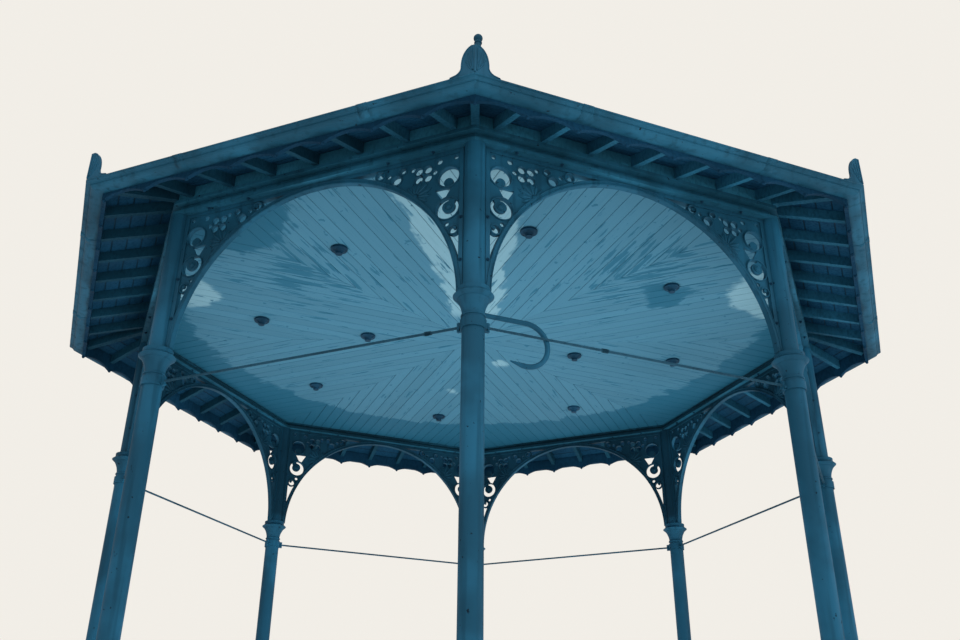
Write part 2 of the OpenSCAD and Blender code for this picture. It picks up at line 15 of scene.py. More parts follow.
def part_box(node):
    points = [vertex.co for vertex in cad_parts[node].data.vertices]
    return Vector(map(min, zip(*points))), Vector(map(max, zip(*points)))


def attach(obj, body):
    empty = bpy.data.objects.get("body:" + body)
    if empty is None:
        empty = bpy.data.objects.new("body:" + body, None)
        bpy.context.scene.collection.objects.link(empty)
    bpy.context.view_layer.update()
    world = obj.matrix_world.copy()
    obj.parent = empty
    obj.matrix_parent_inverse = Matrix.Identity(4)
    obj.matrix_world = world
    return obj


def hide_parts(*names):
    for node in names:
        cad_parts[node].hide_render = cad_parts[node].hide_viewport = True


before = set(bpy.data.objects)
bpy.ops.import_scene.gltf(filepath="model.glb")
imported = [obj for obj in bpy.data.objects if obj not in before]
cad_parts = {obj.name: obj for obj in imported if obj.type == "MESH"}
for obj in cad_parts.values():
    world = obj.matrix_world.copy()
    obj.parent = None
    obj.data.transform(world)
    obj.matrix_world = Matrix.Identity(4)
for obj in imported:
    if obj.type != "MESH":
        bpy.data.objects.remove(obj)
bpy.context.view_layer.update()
print("nodes in the frame:", len(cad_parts))

# %% [markdown]
# Every size is read from the frame where it can be. The stand has eight like sides, and side 1
# faces -Y, so most pieces are modelled once on that side and then turned round the middle.

# %% Measure the frame
SIDES = 8
TURN = math.tau / SIDES
HALF_TURN = TURN / 2
TAN_HALF = math.tan(HALF_TURN)

column_low, column_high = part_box("column_1")
column_axis = (column_low + column_high) / 2
column_circle = math.hypot(column_axis.x, column_axis.y)
column_line = column_circle * math.cos(HALF_TURN)
floor_z = column_low.z
plinth_out, coping_out, slab_out, ceiling_out, fascia_out = (
    -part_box(node)[0].y for node in ("plinth", "coping", "floor_slab", "ceiling", "fascia"))
plinth_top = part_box("plinth")[1].z
ceiling_low, ceiling_high = (corner.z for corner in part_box("ceiling"))
arch_low, arch_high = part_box("arch_1")
girder_low, girder_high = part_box("girder_1")
gutter_low, gutter_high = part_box("gutter")
wire_z = sum(corner.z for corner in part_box("taut_wire")) / 2
print(f"column circle {column_circle:.3f} m, floor {floor_z:.2f} m, ceiling {ceiling_low:.2f} m")

# %% [markdown]
# The camera stands close to one column, about 1.2 m up, and looks up by 27 degrees, so that the
# view is mostly of the ceiling and the eaves. Like all that stands in a scene it is an object,
# which is made from its data and linked to the scene.

# %% Place the camera
EYE = Vector((2.850, -6.795, 1.193))
LOOK_UP = math.radians(27.164)
LOOK_ROUND = math.radians(22.460)
ROLL = math.radians(0.388)
FOCAL_MM = 36.45


def add_object(name, data):
    added = bpy.data.objects.new(name, data)
    bpy.context.scene.collection.objects.link(added)
    return added


lens = bpy.data.cameras.new("camera")
lens.lens = FOCAL_MM
lens.sensor_width = 36
camera = add_object("camera", lens)
camera.matrix_world = (Matrix.Translation(EYE) @ Matrix.Rotation(LOOK_ROUND, 4, "Z")
                       @ Matrix.Rotation(math.pi / 2 + LOOK_UP, 4, "X")
                       @ Matrix.Rotation(ROLL, 4, "Z"))
bpy.context.scene.camera = camera
print("camera at", tuple(round(c, 3) for c in EYE))

# %% [markdown]
# A shader is a small sum: a noise times a colour, plus a stain. In the editor each step is a
# box with wires. Written in Python that gets long, so one small class wraps a socket and lets
# plus, minus and times add the Math nodes. Any other node comes from its one method, make. An
# input of a node is fed either by another socket, with a link, or by a plain value.


# %% A socket that does sums
def feed(node, inputs):
    for name, value in inputs.items():
        socket = node.inputs[name]
        if isinstance(value, Socket):
            value.tree.links.new(value.socket, socket)
        else:
            socket.default_value = (*value, 1) if socket.type == "RGBA" else value


class Socket:
    def __init__(self, tree, socket):
        self.tree = tree
        self.socket = socket

    def make(self, kind, settings=None, inputs=None, output=0):
        node = self.tree.nodes.new(kind)
        for name, value in (settings or {}).items():
            setattr(node, name, value)
        feed(node, inputs or {})
        return Socket(self.tree, node.outputs[output])

    def sum(self, operation, first, second):
        return self.make("ShaderNodeMath", {"operation": operation}, {0: first, 1: second})

    def __add__(self, other):
        return self.sum("ADD", self, other)

    __radd__ = __add__

    def __sub__(self, other):
        return self.sum("SUBTRACT", self, other)

    def __rsub__(self, other):
        return self.sum("SUBTRACT", other, self)

    def __mul__(self, other):
        return self.sum("MULTIPLY", self, other)

    __rmul__ = __mul__

    def either(self, other):
        """The larger of two masks."""
        return self.sum("MAXIMUM", self, other)

    def ramp(self, low, high):
        """0 at low, 1 at high, and smooth between. Where low is the larger, it falls."""
        return self.make("ShaderNodeMapRange", {"interpolation_type": "SMOOTHSTEP"},
                         {"Value": self, "From Min": low, "From Max": high})

    def noise(self, scale, detail=3.0, stretch=(1, 1, 1)):
        """Noise on this vector. A stretch under 1 draws the grain out along that axis."""
        place = self.make("ShaderNodeMapping", None, {"Vector": self, "Scale": stretch})
        return self.make("ShaderNodeTexNoise", None,
                         {"Vector": place, "Scale": scale, "Detail": detail})

    def axis(self, number):
        return self.make("ShaderNodeSeparateXYZ", None, {"Vector": self}, number)

    def far_from(self, point):
        return self.make("ShaderNodeVectorMath", {"operation": "DISTANCE"},
                         {0: self, 1: point}, "Value")

    def tint(self, first, second):
        """Mixes two colours: the first where this is 0, the second where it is 1."""
        return self.make("ShaderNodeMix", {"data_type": "RGBA"},
                         {"Factor": self, 6: first, 7: second}, 2)

    def in_corners(self, reach):
        """Light that gets into a corner: 1 in the open, less where faces meet within reach."""
        return self.make("ShaderNodeAmbientOcclusion", {"samples": 4}, {"Distance": reach}, "AO")

    def tone(self):
        """The number that each board or stone carries for its own tone."""
        return self.make("ShaderNodeAttribute", {"attribute_name": TONE}, None, "Fac")


# %% [markdown]
# Colours are given as they look on a screen, from 0 to 255, and turned to the linear numbers
# that light is reckoned in. A material starts from the Principled shader. Its colour and
# roughness are drawn by sums, and fine relief goes through a Bump node.


# %% Start and finish a material
TONE = "tone"


def screen(red, green, blue):
    def linear(part):
        part = part / 255
        return part / 12.92 if part <= 0.04045 else ((part + 0.055) / 1.055) ** 2.4
    return (linear(red), linear(green), linear(blue))


def shade(colour, times):
    return tuple(times * part for part in colour)


def coats(tint, *layers):
    """Lays colours over a tint, each where its mask is 1."""
    for mask, colour in layers:
        tint = mask.tint(tint, colour)
    return tint


def start_material(name):
    material = bpy.data.materials.new(name)
    material.use_nodes = True
    tree = material.node_tree
    place = tree.nodes.new("ShaderNodeTexCoord")
    return material, tree.nodes["Principled BSDF"], Socket(tree, place.outputs["Object"])


def finish_material(shader, colour, roughness, height=None, depth=0.001, sheen=0.3):
    feed(shader, {"Specular IOR Level": sheen, "Base Color": colour, "Roughness": roughness})
    if height is not None:
        inputs = {"Height": height, "Distance": depth, "Strength": 0.6}
        feed(shader, {"Normal": height.make("ShaderNodeBump", None, inputs)})


# %% [markdown]
# Outdoor paint on cast iron is never one colour. It fades in broad clouds, runs of rain leave
# upright streaks, dirt and painted shade darken the corners, and small chips show the dark
# primer. The sand of the mould leaves a fine grain. Old paint is dull, so it gets little of the
# sheen. Faces that look down can be given a painted shade. Under the roof all iron over the
# springing of the arches gets painted shade, nearly black, on its inner side: there the normal
# of a face points against its own place, which a dot product shows.


# %% Paint on iron
PRIMER = screen(12, 32, 46)


def iron_paint(name, colour, fade=1.3, chips=0.69, roughness=0.5, under=None, painted_shade=0.0):
    material, shader, place = start_material(name)
    cloud = place.noise(1.9, 4).ramp(0.42, 0.62)
    streak = place.noise(22, 3, (1, 1, 0.05)).ramp(0.50, 0.70)
    worn = place.noise(34, 6).ramp(chips, chips + 0.02)
    # Dirt and painted shade: less light gets into the corners, so they are darkened.
    corner_dirt_and_shade = place.in_corners(0.05).ramp(0.7, 0.2)
    tint = coats(cloud.tint(shade(colour, 0.82), shade(colour, fade)),
                 (streak * 0.5, shade(colour, 0.5)), (corner_dirt_and_shade * 0.6, shade(colour, 0.35)),
                 (worn, PRIMER))
    normal = place.make("ShaderNodeNewGeometry", output=1)
    # Painted shade: faces that look down take the darker underside colour.
    if under:
        tint = normal.axis(2).ramp(-0.2, -0.5).tint(tint, under)
    # Painted shade: inner faces over the springing of the arches are darkened nearly to black.
    if painted_shade:
        outward = normal.axis(0) * place.axis(0) + normal.axis(1) * place.axis(1)
        under_roof = place.axis(2).ramp(arch_low.z, arch_low.z + 0.1)
        inner_face_shade = outward.ramp(-1.2, -2.2) * under_roof * painted_shade
        tint = inner_face_shade.tint(tint, shade(colour, 0.1))
    grain = place.noise(380, 2)
    finish_material(shader, tint, roughness + 0.12 * streak + 0.2 * worn,
                    grain * 0.35 - worn * 0.7, 0.0008, 0.16)
    return material


COLUMN_PAINT = iron_paint("column_paint", screen(29, 85, 112), painted_shade=0.72)
ARCH_PAINT = iron_paint("arch_paint", screen(28, 80, 105), painted_shade=0.62)
GIRDER_PAINT = iron_paint("girder_paint", screen(35, 94, 120), painted_shade=0.8)
GUTTER_PAINT = iron_paint("gutter_paint", screen(31, 85, 110))
FITTING_PAINT = iron_paint("fitting_paint", screen(20, 60, 84))
print("iron paints made")

# %% [markdown]
# The wood under the eaves is painted too, but wood moves: the paint cracks along the grain and
# goes flat. The grain is a fine noise, drawn out a little along the height. On the side away
# from the sun the rafters get painted shade, nearly black.


# %% Paint on timber
SUNNY_SIDE = Vector((1.12, -0.08, 0))
SUNNY_FROM, SHADY_FROM = 2.2, 0.2


def timber_paint(name, colour, painted_shade=0.0):
    material, shader, place = start_material(name)
    cloud = place.noise(2.2, 4).ramp(0.35, 0.7)
    grain = place.noise(60, 4, (1, 1, 0.5)).ramp(0.4, 0.7)
    tint = coats(cloud.tint(shade(colour, 0.75), shade(colour, 1.2)),
                 (grain * 0.5, shade(colour, 0.5)))
    # Painted shade on the side away from the sun.
    if painted_shade:
        sunny = place.axis(0) * SUNNY_SIDE.x + place.axis(1) * SUNNY_SIDE.y
        shady = (sunny + cloud * 0.5).ramp(SUNNY_FROM, SHADY_FROM) * painted_shade
        tint = shady.tint(tint, shade(colour, 0.12))
    finish_material(shader, tint, 0.55 + 0.2 * grain, grain, 0.0008, 0.08)
    return material


# One blue paint in lit and shaded copies: the rafters and frieze boards are written lighter as
# painted light, and the eaves boards and fascia darker as painted shade.
LIT_RAFTER_PAINT = timber_paint("lit_rafter_paint", screen(38, 101, 130), painted_shade=0.62)
SHADED_EAVES_PAINT = timber_paint("shaded_eaves_paint", screen(24, 72, 102), painted_shade=0.10)
SHADED_FASCIA_PAINT = timber_paint("fascia_paint", screen(18, 59, 85))
LIT_FRIEZE_PAINT = timber_paint("lit_frieze_paint", screen(50, 122, 150))
print("timber paints made")


# %% [markdown]
# Stone is a speckle of crystals under a soft cloud of weathering, and each block has its own
# tone. The tone is a number that every face carries, written when the block is made. The roof
# is sheet metal, painted like the iron, with painted shade on its underside.


# %% Stone and roof metal
def stone_face(name, colour, speckle):
    material, shader, place = start_material(name)
    cloud = place.noise(1.6, 5).ramp(0.3, 0.7)
    speck = place.noise(speckle, 4).ramp(0.40, 0.68)
    pit = place.noise(26, 6).ramp(0.62, 0.68)
    tint = coats(cloud.tint(shade(colour, 0.74), shade(colour, 1.10)),
                 (place.tone(), shade(colour, 0.62)), (speck * 0.35, shade(colour, 0.5)),
                 (pit * 0.6, shade(colour, 0.35)))
    finish_material(shader, tint, 0.85, speck - pit, 0.0025)
    return material


PLINTH_STONE = stone_face("plinth_stone", screen(160, 156, 145), 90)
COPING_STONE = stone_face("coping_stone", screen(180, 176, 165), 140)
FLOOR_STONE = stone_face("floor_stone", screen(160, 159, 152), 120)
MORTAR = stone_face("mortar", screen(120, 117, 110), 200)
# The last colour given to the roof is its painted shade underneath.
ROOF_METAL = iron_paint("roof_metal", screen(52, 96, 118), 1.15, 0.72, 0.5, screen(16, 46, 64))
WIRE_METAL = iron_paint("wire_metal", screen(40, 84, 106), 1.1, 0.74, 0.45)
print("stone and metal made")

# %% [markdown]
# The ceiling's boards are the palest paint, and the most marked. A wedge of painted light
# runs in past the front column, with lit spots beside the arches, painted shade lies over the
# rear, and damp has run along some boards from a leak in the roof. Each is a mask: a distance
# or a line, made ragged by noise. The boards carry a UV map, across and along each board, for
# the grain and the runs.

# %% Paint on the ceiling boards
BOARD_MAP = "boards"
FRONT = Vector((math.sin(HALF_TURN), -math.cos(HALF_TURN), 0))
LIT_SPOTS = (((-1.75, -1.62), 0.29), ((2.56, 0.08), 0.46), ((0.03, 0.52), 0.09),
               ((-0.62, 0.93), 0.07))
DARK_SPOTS = (((-0.85, -2.36), 0.47), ((1.66, -0.20), 0.20))
LEAKS = (((1.60, -0.62), 0.85), ((-0.80, -1.50), 0.75))


def spot(place, middle, reach, ragged, soft=0.05):
    """1 inside a ragged round spot on the ceiling, and 0 outside it."""
    return (place.far_from((*middle, ceiling_low)) + ragged).ramp(reach, reach - soft)


def ceiling_paint():
    material, shader, place = start_material("ceiling_paint")
    middle, dark, pale = screen(72, 129, 156), screen(38, 101, 129), screen(124, 170, 188)
    across, deep = place.axis(0), place.axis(1)
    boards = place.make("ShaderNodeUVMap", {"uv_map": BOARD_MAP})
    run = boards.noise(30, 4, (1, 0.10, 1))
    ragged = (place.noise(5, 5) - 0.5) * 0.5 + (run - 0.5) * 0.25
    forward = across * FRONT.x + deep * FRONT.y
    leftward = across * FRONT.y - deep * FRONT.x
    out = place.far_from((0, 0, ceiling_low))
    # Painted light: a pale wedge along the front column's corner line, and lit spots.
    light_wedge = (leftward - forward * 0.10 - forward * forward * 0.045 + ragged * 0.5).ramp(0.13, 0.09)
    light_wedge = light_wedge * (leftward + forward * 0.09 + ragged * 0.5).ramp(-0.15, -0.11)
    light_wedge = light_wedge * forward.ramp(0.35, 0.55)
    for centre, reach in LIT_SPOTS:
        light_wedge = light_wedge.either(spot(place, centre, reach, ragged * 0.4))
    # Painted shade over the rear of the ceiling and in dark spots.
    shadow = (out - forward * 0.18 + ragged * 0.7).ramp(2.28, 2.33)
    for centre, reach in DARK_SPOTS:
        shadow = shadow.either(spot(place, centre, reach, ragged * 0.8))
    leak = 0
    for centre, reach in LEAKS:
        leak = spot(place, centre, reach, 0, reach) + leak
    stain = (run + leak * 0.17).ramp(0.63, 0.66)
    spots = place.noise(15, 4).ramp(0.69, 0.71)
    grain = boards.noise(90, 3, (1, 0.03, 1))
    # The last coat is painted shade in the grooves and corners of the boards.
    tint = coats(place.tone().tint(middle, shade(middle, 0.90)), (light_wedge, pale), (shadow, dark),
                 (stain.either(spots) * 0.85, dark), (grain.ramp(0.5, 0.8) * 0.25, dark),
                 (place.in_corners(0.02).ramp(0.9, 0.3), shade(dark, 0.5)))
    finish_material(shader, tint, 0.6 + 0.1 * stain, grain - 0.4 * stain, 0.0006, 0.15)
    return material


CEILING_PAINT = ceiling_paint()
print("ceiling paint made")

# %% [markdown]
# The frame's own pieces take their paint by the first word of their names. Where no later
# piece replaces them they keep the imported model's shape.

# %% Paint the nodes of the frame
NODE_PAINT = {"column": COLUMN_PAINT, "arch": ARCH_PAINT, "girder": GIRDER_PAINT,
              "roof": ROOF_METAL, "plinth": PLINTH_STONE, "coping": COPING_STONE,
              "floor": FLOOR_STONE, "ceiling": CEILING_PAINT, "rafters": LIT_RAFTER_PAINT,
              "hip": LIT_RAFTER_PAINT, "fascia": SHADED_FASCIA_PAINT, "gutter": GUTTER_PAINT,
              "antefixes": ARCH_PAINT, "finial": ARCH_PAINT, "taut": WIRE_METAL,
              "wire": COLUMN_PAINT}
for node_name, node_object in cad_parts.items():
    paint = NODE_PAINT[node_name.split("_")[0]]
    if node_name == "ceiling_fittings":
        paint = FITTING_PAINT
    node_object.data.materials.clear()
    node_object.data.materials.append(paint)
print("painted", len(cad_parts), "nodes")

# %% [markdown]
# New pieces start as an empty bmesh, a mesh held in memory. Parts are modelled on side 1 in a
# bmesh of their own, which keeps each operator quick, and are then joined to the whole piece,
# turned to their side. What is like on both hands is modelled once and mirrored. When the piece
# is done, its normals are made to point outwards.


# %% Join parts and finish a piece
def side_turn(side):
    """The turn that takes side 1 to a side further round."""
    return Matrix.Rotation(side * TURN, 3, "Z")


def verts_in(items):
    """The vertices among what an operator gives back."""
    return [item for item in items if isinstance(item, bmesh.types.BMVert)]


def edges_at(verts):
    return list({edge for vert in verts for edge in vert.link_edges})


def as_mesh(bm, name):
    mesh = bpy.data.meshes.new(name)
    bm.to_mesh(mesh)
    bm.free()
    return mesh


def join_part(whole, part, side=0):
    """Adds a part, turned from side 1 to another side, to the whole piece, and frees it."""
    bmesh.ops.rotate(part, cent=(0, 0, 0), matrix=side_turn(side), verts=part.verts)
    mesh = as_mesh(part, "part")
    whole.from_mesh(mesh)
    bpy.data.meshes.remove(mesh)


def turn_round(bm):
    """Copies what stands on side 1 to the seven other sides."""
    first = bm.verts[:] + bm.edges[:] + bm.faces[:]
    for side in range(1, SIDES):
        copy = bmesh.ops.duplicate(bm, geom=first)["geom"]
        bmesh.ops.rotate(bm, cent=(0, 0, 0), matrix=side_turn(side), verts=verts_in(copy))


def add_mirrored(bm, flip, middle=(0, 0, 0)):
    """Adds a mirrored copy of all that is there. The flip holds a -1 for its axis."""
    copy = bmesh.ops.duplicate(bm, geom=bm.verts[:] + bm.edges[:] + bm.faces[:])["geom"]
    bmesh.ops.scale(bm, vec=flip, space=Matrix.Translation(middle).inverted(),
                    verts=verts_in(copy))


ACROSS, TO_THE_BACK = (-1, 1, 1), (1, -1, 1)


def finish_piece(bm, name, material, replaces=(), smooth=False):
    bmesh.ops.recalc_face_normals(bm, faces=bm.faces)
    if smooth:
        for face in bm.faces:
            face.smooth = True
    mesh = as_mesh(bm, name)
    mesh.materials.append(material)
    piece = add_object(name, mesh)
    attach(piece, "root")
    if replaces:
        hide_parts(*replaces)
    print(f"{name}: {sum(len(face.vertices) - 2 for face in mesh.polygons)} triangles")
    return piece


# %% [markdown]
# Most boards and stones are boxes with softened edges. Where two sides of the stand meet, they
# are cut off along the corner line. A plane cuts a mesh with bisect_plane, and holes_fill
# closes the cut, so each board stays a solid.


# %% Boxes, cuts and tones
HAIR = 0.0005


def bevel(bm, edges, width, segments=1):
    bmesh.ops.bevel(bm, geom=edges, offset=width, segments=segments, profile=0.5,
                    affect="EDGES", material=-1)


def thicken(bm, faces, step):
    """Extrudes faces by a step, which makes a sheet a solid."""
    moved = bmesh.ops.extrude_face_region(bm, geom=faces)["geom"]
    bmesh.ops.translate(bm, vec=step, verts=verts_in(moved))


def add_box(bm, low, high, arris=0.0):
    low, high = Vector(low), Vector(high)
    verts = bmesh.ops.create_cube(bm, size=1)["verts"]
    bmesh.ops.scale(bm, vec=high - low, verts=verts)
    bmesh.ops.translate(bm, vec=(low + high) / 2, verts=verts)
    if arris:
        bevel(bm, edges_at(verts), arris)


def cut_off(bm, point, normal):
    """Removes what lies beyond a plane, on the side its normal points to, and closes the cut."""
    cut = bmesh.ops.bisect_plane(bm, geom=bm.verts[:] + bm.edges[:] + bm.faces[:], dist=1e-6,
                                 plane_co=point, plane_no=normal, clear_outer=True)["geom_cut"]
    edges = [item for item in cut if isinstance(item, bmesh.types.BMEdge)]
    if edges:
        bmesh.ops.holes_fill(bm, edges=edges, sides=0)


def mitre(bm, gap=HAIR):
    """Cuts a part of side 1 off at both corner lines, a hair short of them."""
    for hand in (-1, 1):
        normal = Vector((hand * math.cos(HALF_TURN), math.sin(HALF_TURN), 0))
        cut_off(bm, -gap * normal, normal)


def give_tone(bm, value):
    layer = bm.faces.layers.float.get(TONE) or bm.faces.layers.float.new(TONE)
    for face in bm.faces:
        face[layer] = value


# %% [markdown]
# The ceiling is matched boarding: narrow boards with a V where they meet, run square to each
# side and cut at the corner lines. Each board is a box whose two long lower edges are beveled.
# It gets a tone, and a UV map that holds its place across and along, for the paint.

# %% Board the ceiling
BOARD_W = 0.098
BOARD_T = ceiling_high - ceiling_low
V_DEPTH = 0.004
UNEVEN = 0.0015
random.seed(7)


def ceiling_board(left):
    bm = bmesh.new()
    low_z = ceiling_low + random.uniform(0, UNEVEN)
    add_box(bm, (left, -ceiling_out, low_z), (left + BOARD_W, 0, ceiling_high))
    edges = [edge for edge in bm.edges
             if all(vert.co.z < ceiling_low + BOARD_T / 2 for vert in edge.verts)
             and abs(edge.verts[0].co.x - edge.verts[1].co.x) < 1e-6]
    bevel(bm, edges, V_DEPTH)
    mitre(bm)
    give_tone(bm, random.random())
    shift = Vector((random.uniform(0, 9), random.uniform(0, 9)))
    layer = bm.loops.layers.uv.new(BOARD_MAP)
    for face in bm.faces:
        for loop in face.loops:
            loop[layer].uv = loop.vert.co.xy + shift
    return bm


boards = bmesh.new()
half_width = ceiling_out * TAN_HALF
board_count = math.ceil(half_width / BOARD_W)
for side in range(SIDES):
    for number in range(-board_count, board_count):
        join_part(boards, ceiling_board(number * BOARD_W), side)
finish_piece(boards, "ceiling_boarding", CEILING_PAINT, ["ceiling"])

# %% [markdown]
# The roof's panels are arcs, hollow side up. Three points on the upper face of one of them, all
# in the plane x = 0, give the circle's centre and radius. With that, anything can be laid on
# the roof by its distance out, and rolls can be spun round the circle's own axis.


# %% Find the roof's arc
def circle_through(first, second, third):
    """Centre and radius of the circle through three points of a plane."""
    rows = Matrix(((second - first) * 2, (third - first) * 2))
    centre = rows.inverted() @ Vector((second.dot(second) - first.dot(first),
                                       third.dot(third) - first.dot(first)))
    return centre, (first - centre).length


def arc_points(mesh, way):
    """The lowest, middle and highest points of a panel's upper (1) or under (-1) face."""
    numbers = {number for face in mesh.polygons if face.normal.z * way > 0.5
               for number in face.vertices}
    points = sorted((Vector(mesh.vertices[number].co.yz) for number in numbers),
                    key=lambda point: point.x)
    middle = (points[0].x + points[-1].x) / 2
    return points[0], min(points, key=lambda point: abs(point.x - middle)), points[-1]


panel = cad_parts["roof_panel_1"].data
roof_points, under_points = arc_points(panel, 1), arc_points(panel, -1)
roof_centre, roof_radius = circle_through(*roof_points)
under_radius = (under_points[0] - roof_centre).length
roof_edge, roof_tip = -roof_points[0].x, -roof_points[2].x


def roof_angle(out):
    """The slope of the roof at a distance out from the middle of the stand."""
    return math.asin((-out - roof_centre.x) / roof_radius)


def on_arc(out, radius, across=0.0):
    """A point on a circle about the roof's axis, at a distance out."""
    rise = math.sqrt(radius ** 2 - (out + roof_centre.x) ** 2)
    return Vector((across, -out, roof_centre.y - rise))


def lay_on_roof(bm, out, radius):
    """Tips a flat part to the slope of the roof, moves it there and mitres it."""
    bmesh.ops.rotate(bm, cent=(0, 0, 0), matrix=Matrix.Rotation(roof_angle(out), 3, "X"),
                     verts=bm.verts)
    bmesh.ops.translate(bm, vec=on_arc(out, radius), verts=bm.verts)
    mitre(bm)
    return bm


print(f"roof arc of radius {roof_radius:.2f} m, {under_radius - roof_radius:.3f} m thick,",
      f"{math.degrees(roof_angle(roof_edge)):.0f} degrees at the eaves")

# %% [markdown]
# Sheet metal can't be laid in one piece, because it grows in the sun. Narrow bays of it meet
# over wooden rolls that run up the slope. A roll is a circle spun round the roof's axis, so it
# follows the hollow of the roof, and cut off where it meets the hip. Welts join sheet to sheet
# across the slope, and they step from bay to bay so that four corners never meet. The rolls
# stop short of the gutter, where the sheets are dressed flat.

# %% Lay the rolls and welts
ROLL_R = 0.017
ROLL_GAP = 0.30
ROLL_STEPS = 26
ROLL_STOP = 0.08
WELT_W, WELT_H = 0.022, 0.008
WELT_OUTS = (0.95, 1.55, 2.15, 2.75)
WELT_STEP = 0.30


def cap_ends(bm):
    """Closes every open loop of edges."""
    bmesh.ops.holes_fill(bm, edges=[edge for edge in bm.edges if edge.is_boundary], sides=0)


def roof_roll(across):
    bm = bmesh.new()
    foot = roof_edge - ROLL_STOP
    slope = roof_angle(foot)
    turn = Matrix.Rotation(slope - math.pi / 2, 4, "X")
    place = Matrix.Translation(on_arc(foot, roof_radius - ROLL_R / 3, across))
    ring = bmesh.ops.create_circle(bm, segments=10, radius=ROLL_R, matrix=place @ turn)["verts"]
    bmesh.ops.spin(bm, geom=ring + bm.edges[:], cent=(across, roof_centre.x, roof_centre.y),
                   axis=(1, 0, 0), angle=roof_angle(roof_tip) - slope, steps=ROLL_STEPS)
    cap_ends(bm)
    mitre(bm)
    return bm


def roof_welt(out, across):
    bm = bmesh.new()
    half = ROLL_GAP / 2
    add_box(bm, (across - half, -WELT_W / 2, -WELT_H / 2), (across + half, WELT_W / 2, WELT_H / 2),
            WELT_H / 3)
    return lay_on_roof(bm, out, roof_radius)


roof = bmesh.new()
rolls_a_side = int(roof_edge * TAN_HALF / ROLL_GAP)
for number in range(-rolls_a_side, rolls_a_side + 1):
    join_part(roof, roof_roll(number * ROLL_GAP))
    for out in WELT_OUTS:
        at = out - WELT_STEP * (number % 2)
        if abs(number * ROLL_GAP + ROLL_GAP / 2) < at * TAN_HALF + ROLL_GAP / 2:
            join_part(roof, roof_welt(at, (number + 0.5) * ROLL_GAP))
turn_round(roof)
finish_piece(roof, "roof_rolls", ROOF_METAL)

# %% [markdown]
# The hips carry larger rolls. A tube along any line is a circle at each of its points, set
# square to the way the line goes there, and each circle bridged to the next.

# %% Lay the hip rolls
HIP_ROLL_R = 0.030
HIP_STATIONS = 24
HIP_STOP = 0.12


def sweep_tube(bm, points, radius, sides=10):
    rings = []
    for number, point in enumerate(points):
        ahead = points[min(number + 1, len(points) - 1)]
        behind = points[max(number - 1, 0)]
        turn = (ahead - behind).to_track_quat("Z", "Y").to_matrix().to_4x4()
        ring = bmesh.ops.create_circle(bm, segments=sides, radius=radius,
                                       matrix=Matrix.Translation(point) @ turn)["verts"]
        rings.append(edges_at(ring))
    for first, second in zip(rings, rings[1:]):
        bmesh.ops.bridge_loops(bm, edges=first + second)
    bmesh.ops.holes_fill(bm, edges=rings[0] + rings[-1], sides=0)


hips = bmesh.new()
hip_foot = roof_edge - HIP_STOP
stations = [hip_foot + (roof_tip - hip_foot) * step / HIP_STATIONS
            for step in range(HIP_STATIONS + 1)]
sweep_tube(hips, [on_arc(out, roof_radius - HIP_ROLL_R / 3, out * TAN_HALF) for out in stations],
           HIP_ROLL_R)
turn_round(hips)
finish_piece(hips, "hip_rolls", ROOF_METAL, smooth=True)

# %% [markdown]
# Under the eaves the roof is boarded, and the boards show between the rafters. They lie along
# the eave. Each is a box turned to the slope, 3 mm proud of the panel, with gaps between.
# Short frieze boards stand on the girders between the rafters and keep the birds out of the
# roof. Their paint is written lighter, as painted light, so they are a piece apart.

# %% Board the eaves
EAVES_BOARD_W = 0.094
EAVES_GAP = 0.002
EAVES_PROUD = 0.003
RAFTER_W = 0.038
RAFTER_BAYS = 8
FRIEZE_OUT, FRIEZE_T = 0.058, 0.018
HIP_CLEAR = RAFTER_W * 0.7
SPARE = 0.05
FASCIA_T = 0.025
EAVES_IN = 0.020

eaves_in = column_line + EAVES_IN
eaves_out = fascia_out - FASCIA_T - 2 * HAIR
rafter_gap = 2 * fascia_out * TAN_HALF / RAFTER_BAYS


def eaves_board(out):
    bm = bmesh.new()
    half = out * TAN_HALF + SPARE
    add_box(bm, (-half, -EAVES_BOARD_W / 2, -EAVES_PROUD), (half, EAVES_BOARD_W / 2, EAVES_PROUD),
            EAVES_PROUD / 2)
    return lay_on_roof(bm, out, under_radius)


def frieze_board(number):
    """A board on the girder, from the rafter of that number to the next one."""
    bm = bmesh.new()
    out = column_line + FRIEZE_OUT
    left = number * rafter_gap + RAFTER_W / 2 + EAVES_GAP / 4
    right = (number + 1) * rafter_gap - RAFTER_W / 2 - EAVES_GAP / 4
    top = on_arc(out, under_radius).z - 2 * EAVES_PROUD
    add_box(bm, (left, -out, girder_high.z + HAIR), (right, FRIEZE_T - out, top), HAIR * 2)
    mitre(bm, HIP_CLEAR)
    return bm


eaves = bmesh.new()
pitch = EAVES_BOARD_W + EAVES_GAP
for number in range(int((eaves_out - eaves_in) / pitch) + 1):
    join_part(eaves, eaves_board(eaves_in + (number + 0.5) * pitch))
turn_round(eaves)
# The eaves boards take the darker copy, as painted shade between the rafters.
finish_piece(eaves, "eaves_boards", SHADED_EAVES_PAINT)
frieze = bmesh.new()
for number in range(RAFTER_BAYS):
    join_part(frieze, frieze_board(number - RAFTER_BAYS / 2))
turn_round(frieze)
finish_piece(frieze, "frieze_boards", LIT_FRIEZE_PAINT)

# %% [markdown]
# The base is rubble stone, rock faced: each block keeps a flat margin, cut with a chisel, and
# its middle is left rough and bulges out. A block starts as a box. Its outer face is inset by
# the margin, the middle is divided finely, and each inner point moves out by a noise. Corner
# stones turn the corner, long and short by turns, so that no joint runs through two courses.

# %% Lay the plinth
COURSES = 2
JOINT = 0.008
STONE_DEPTH = 0.15
MARGIN = 0.022
ROUGH = 0.018
ROUGH_CUTS = 9
QUOIN_LEGS = (0.52, 0.30)
STONES_BETWEEN, JOINT_SHIFT = 3, 0.12
ARRIS = 0.004
random.seed(11)


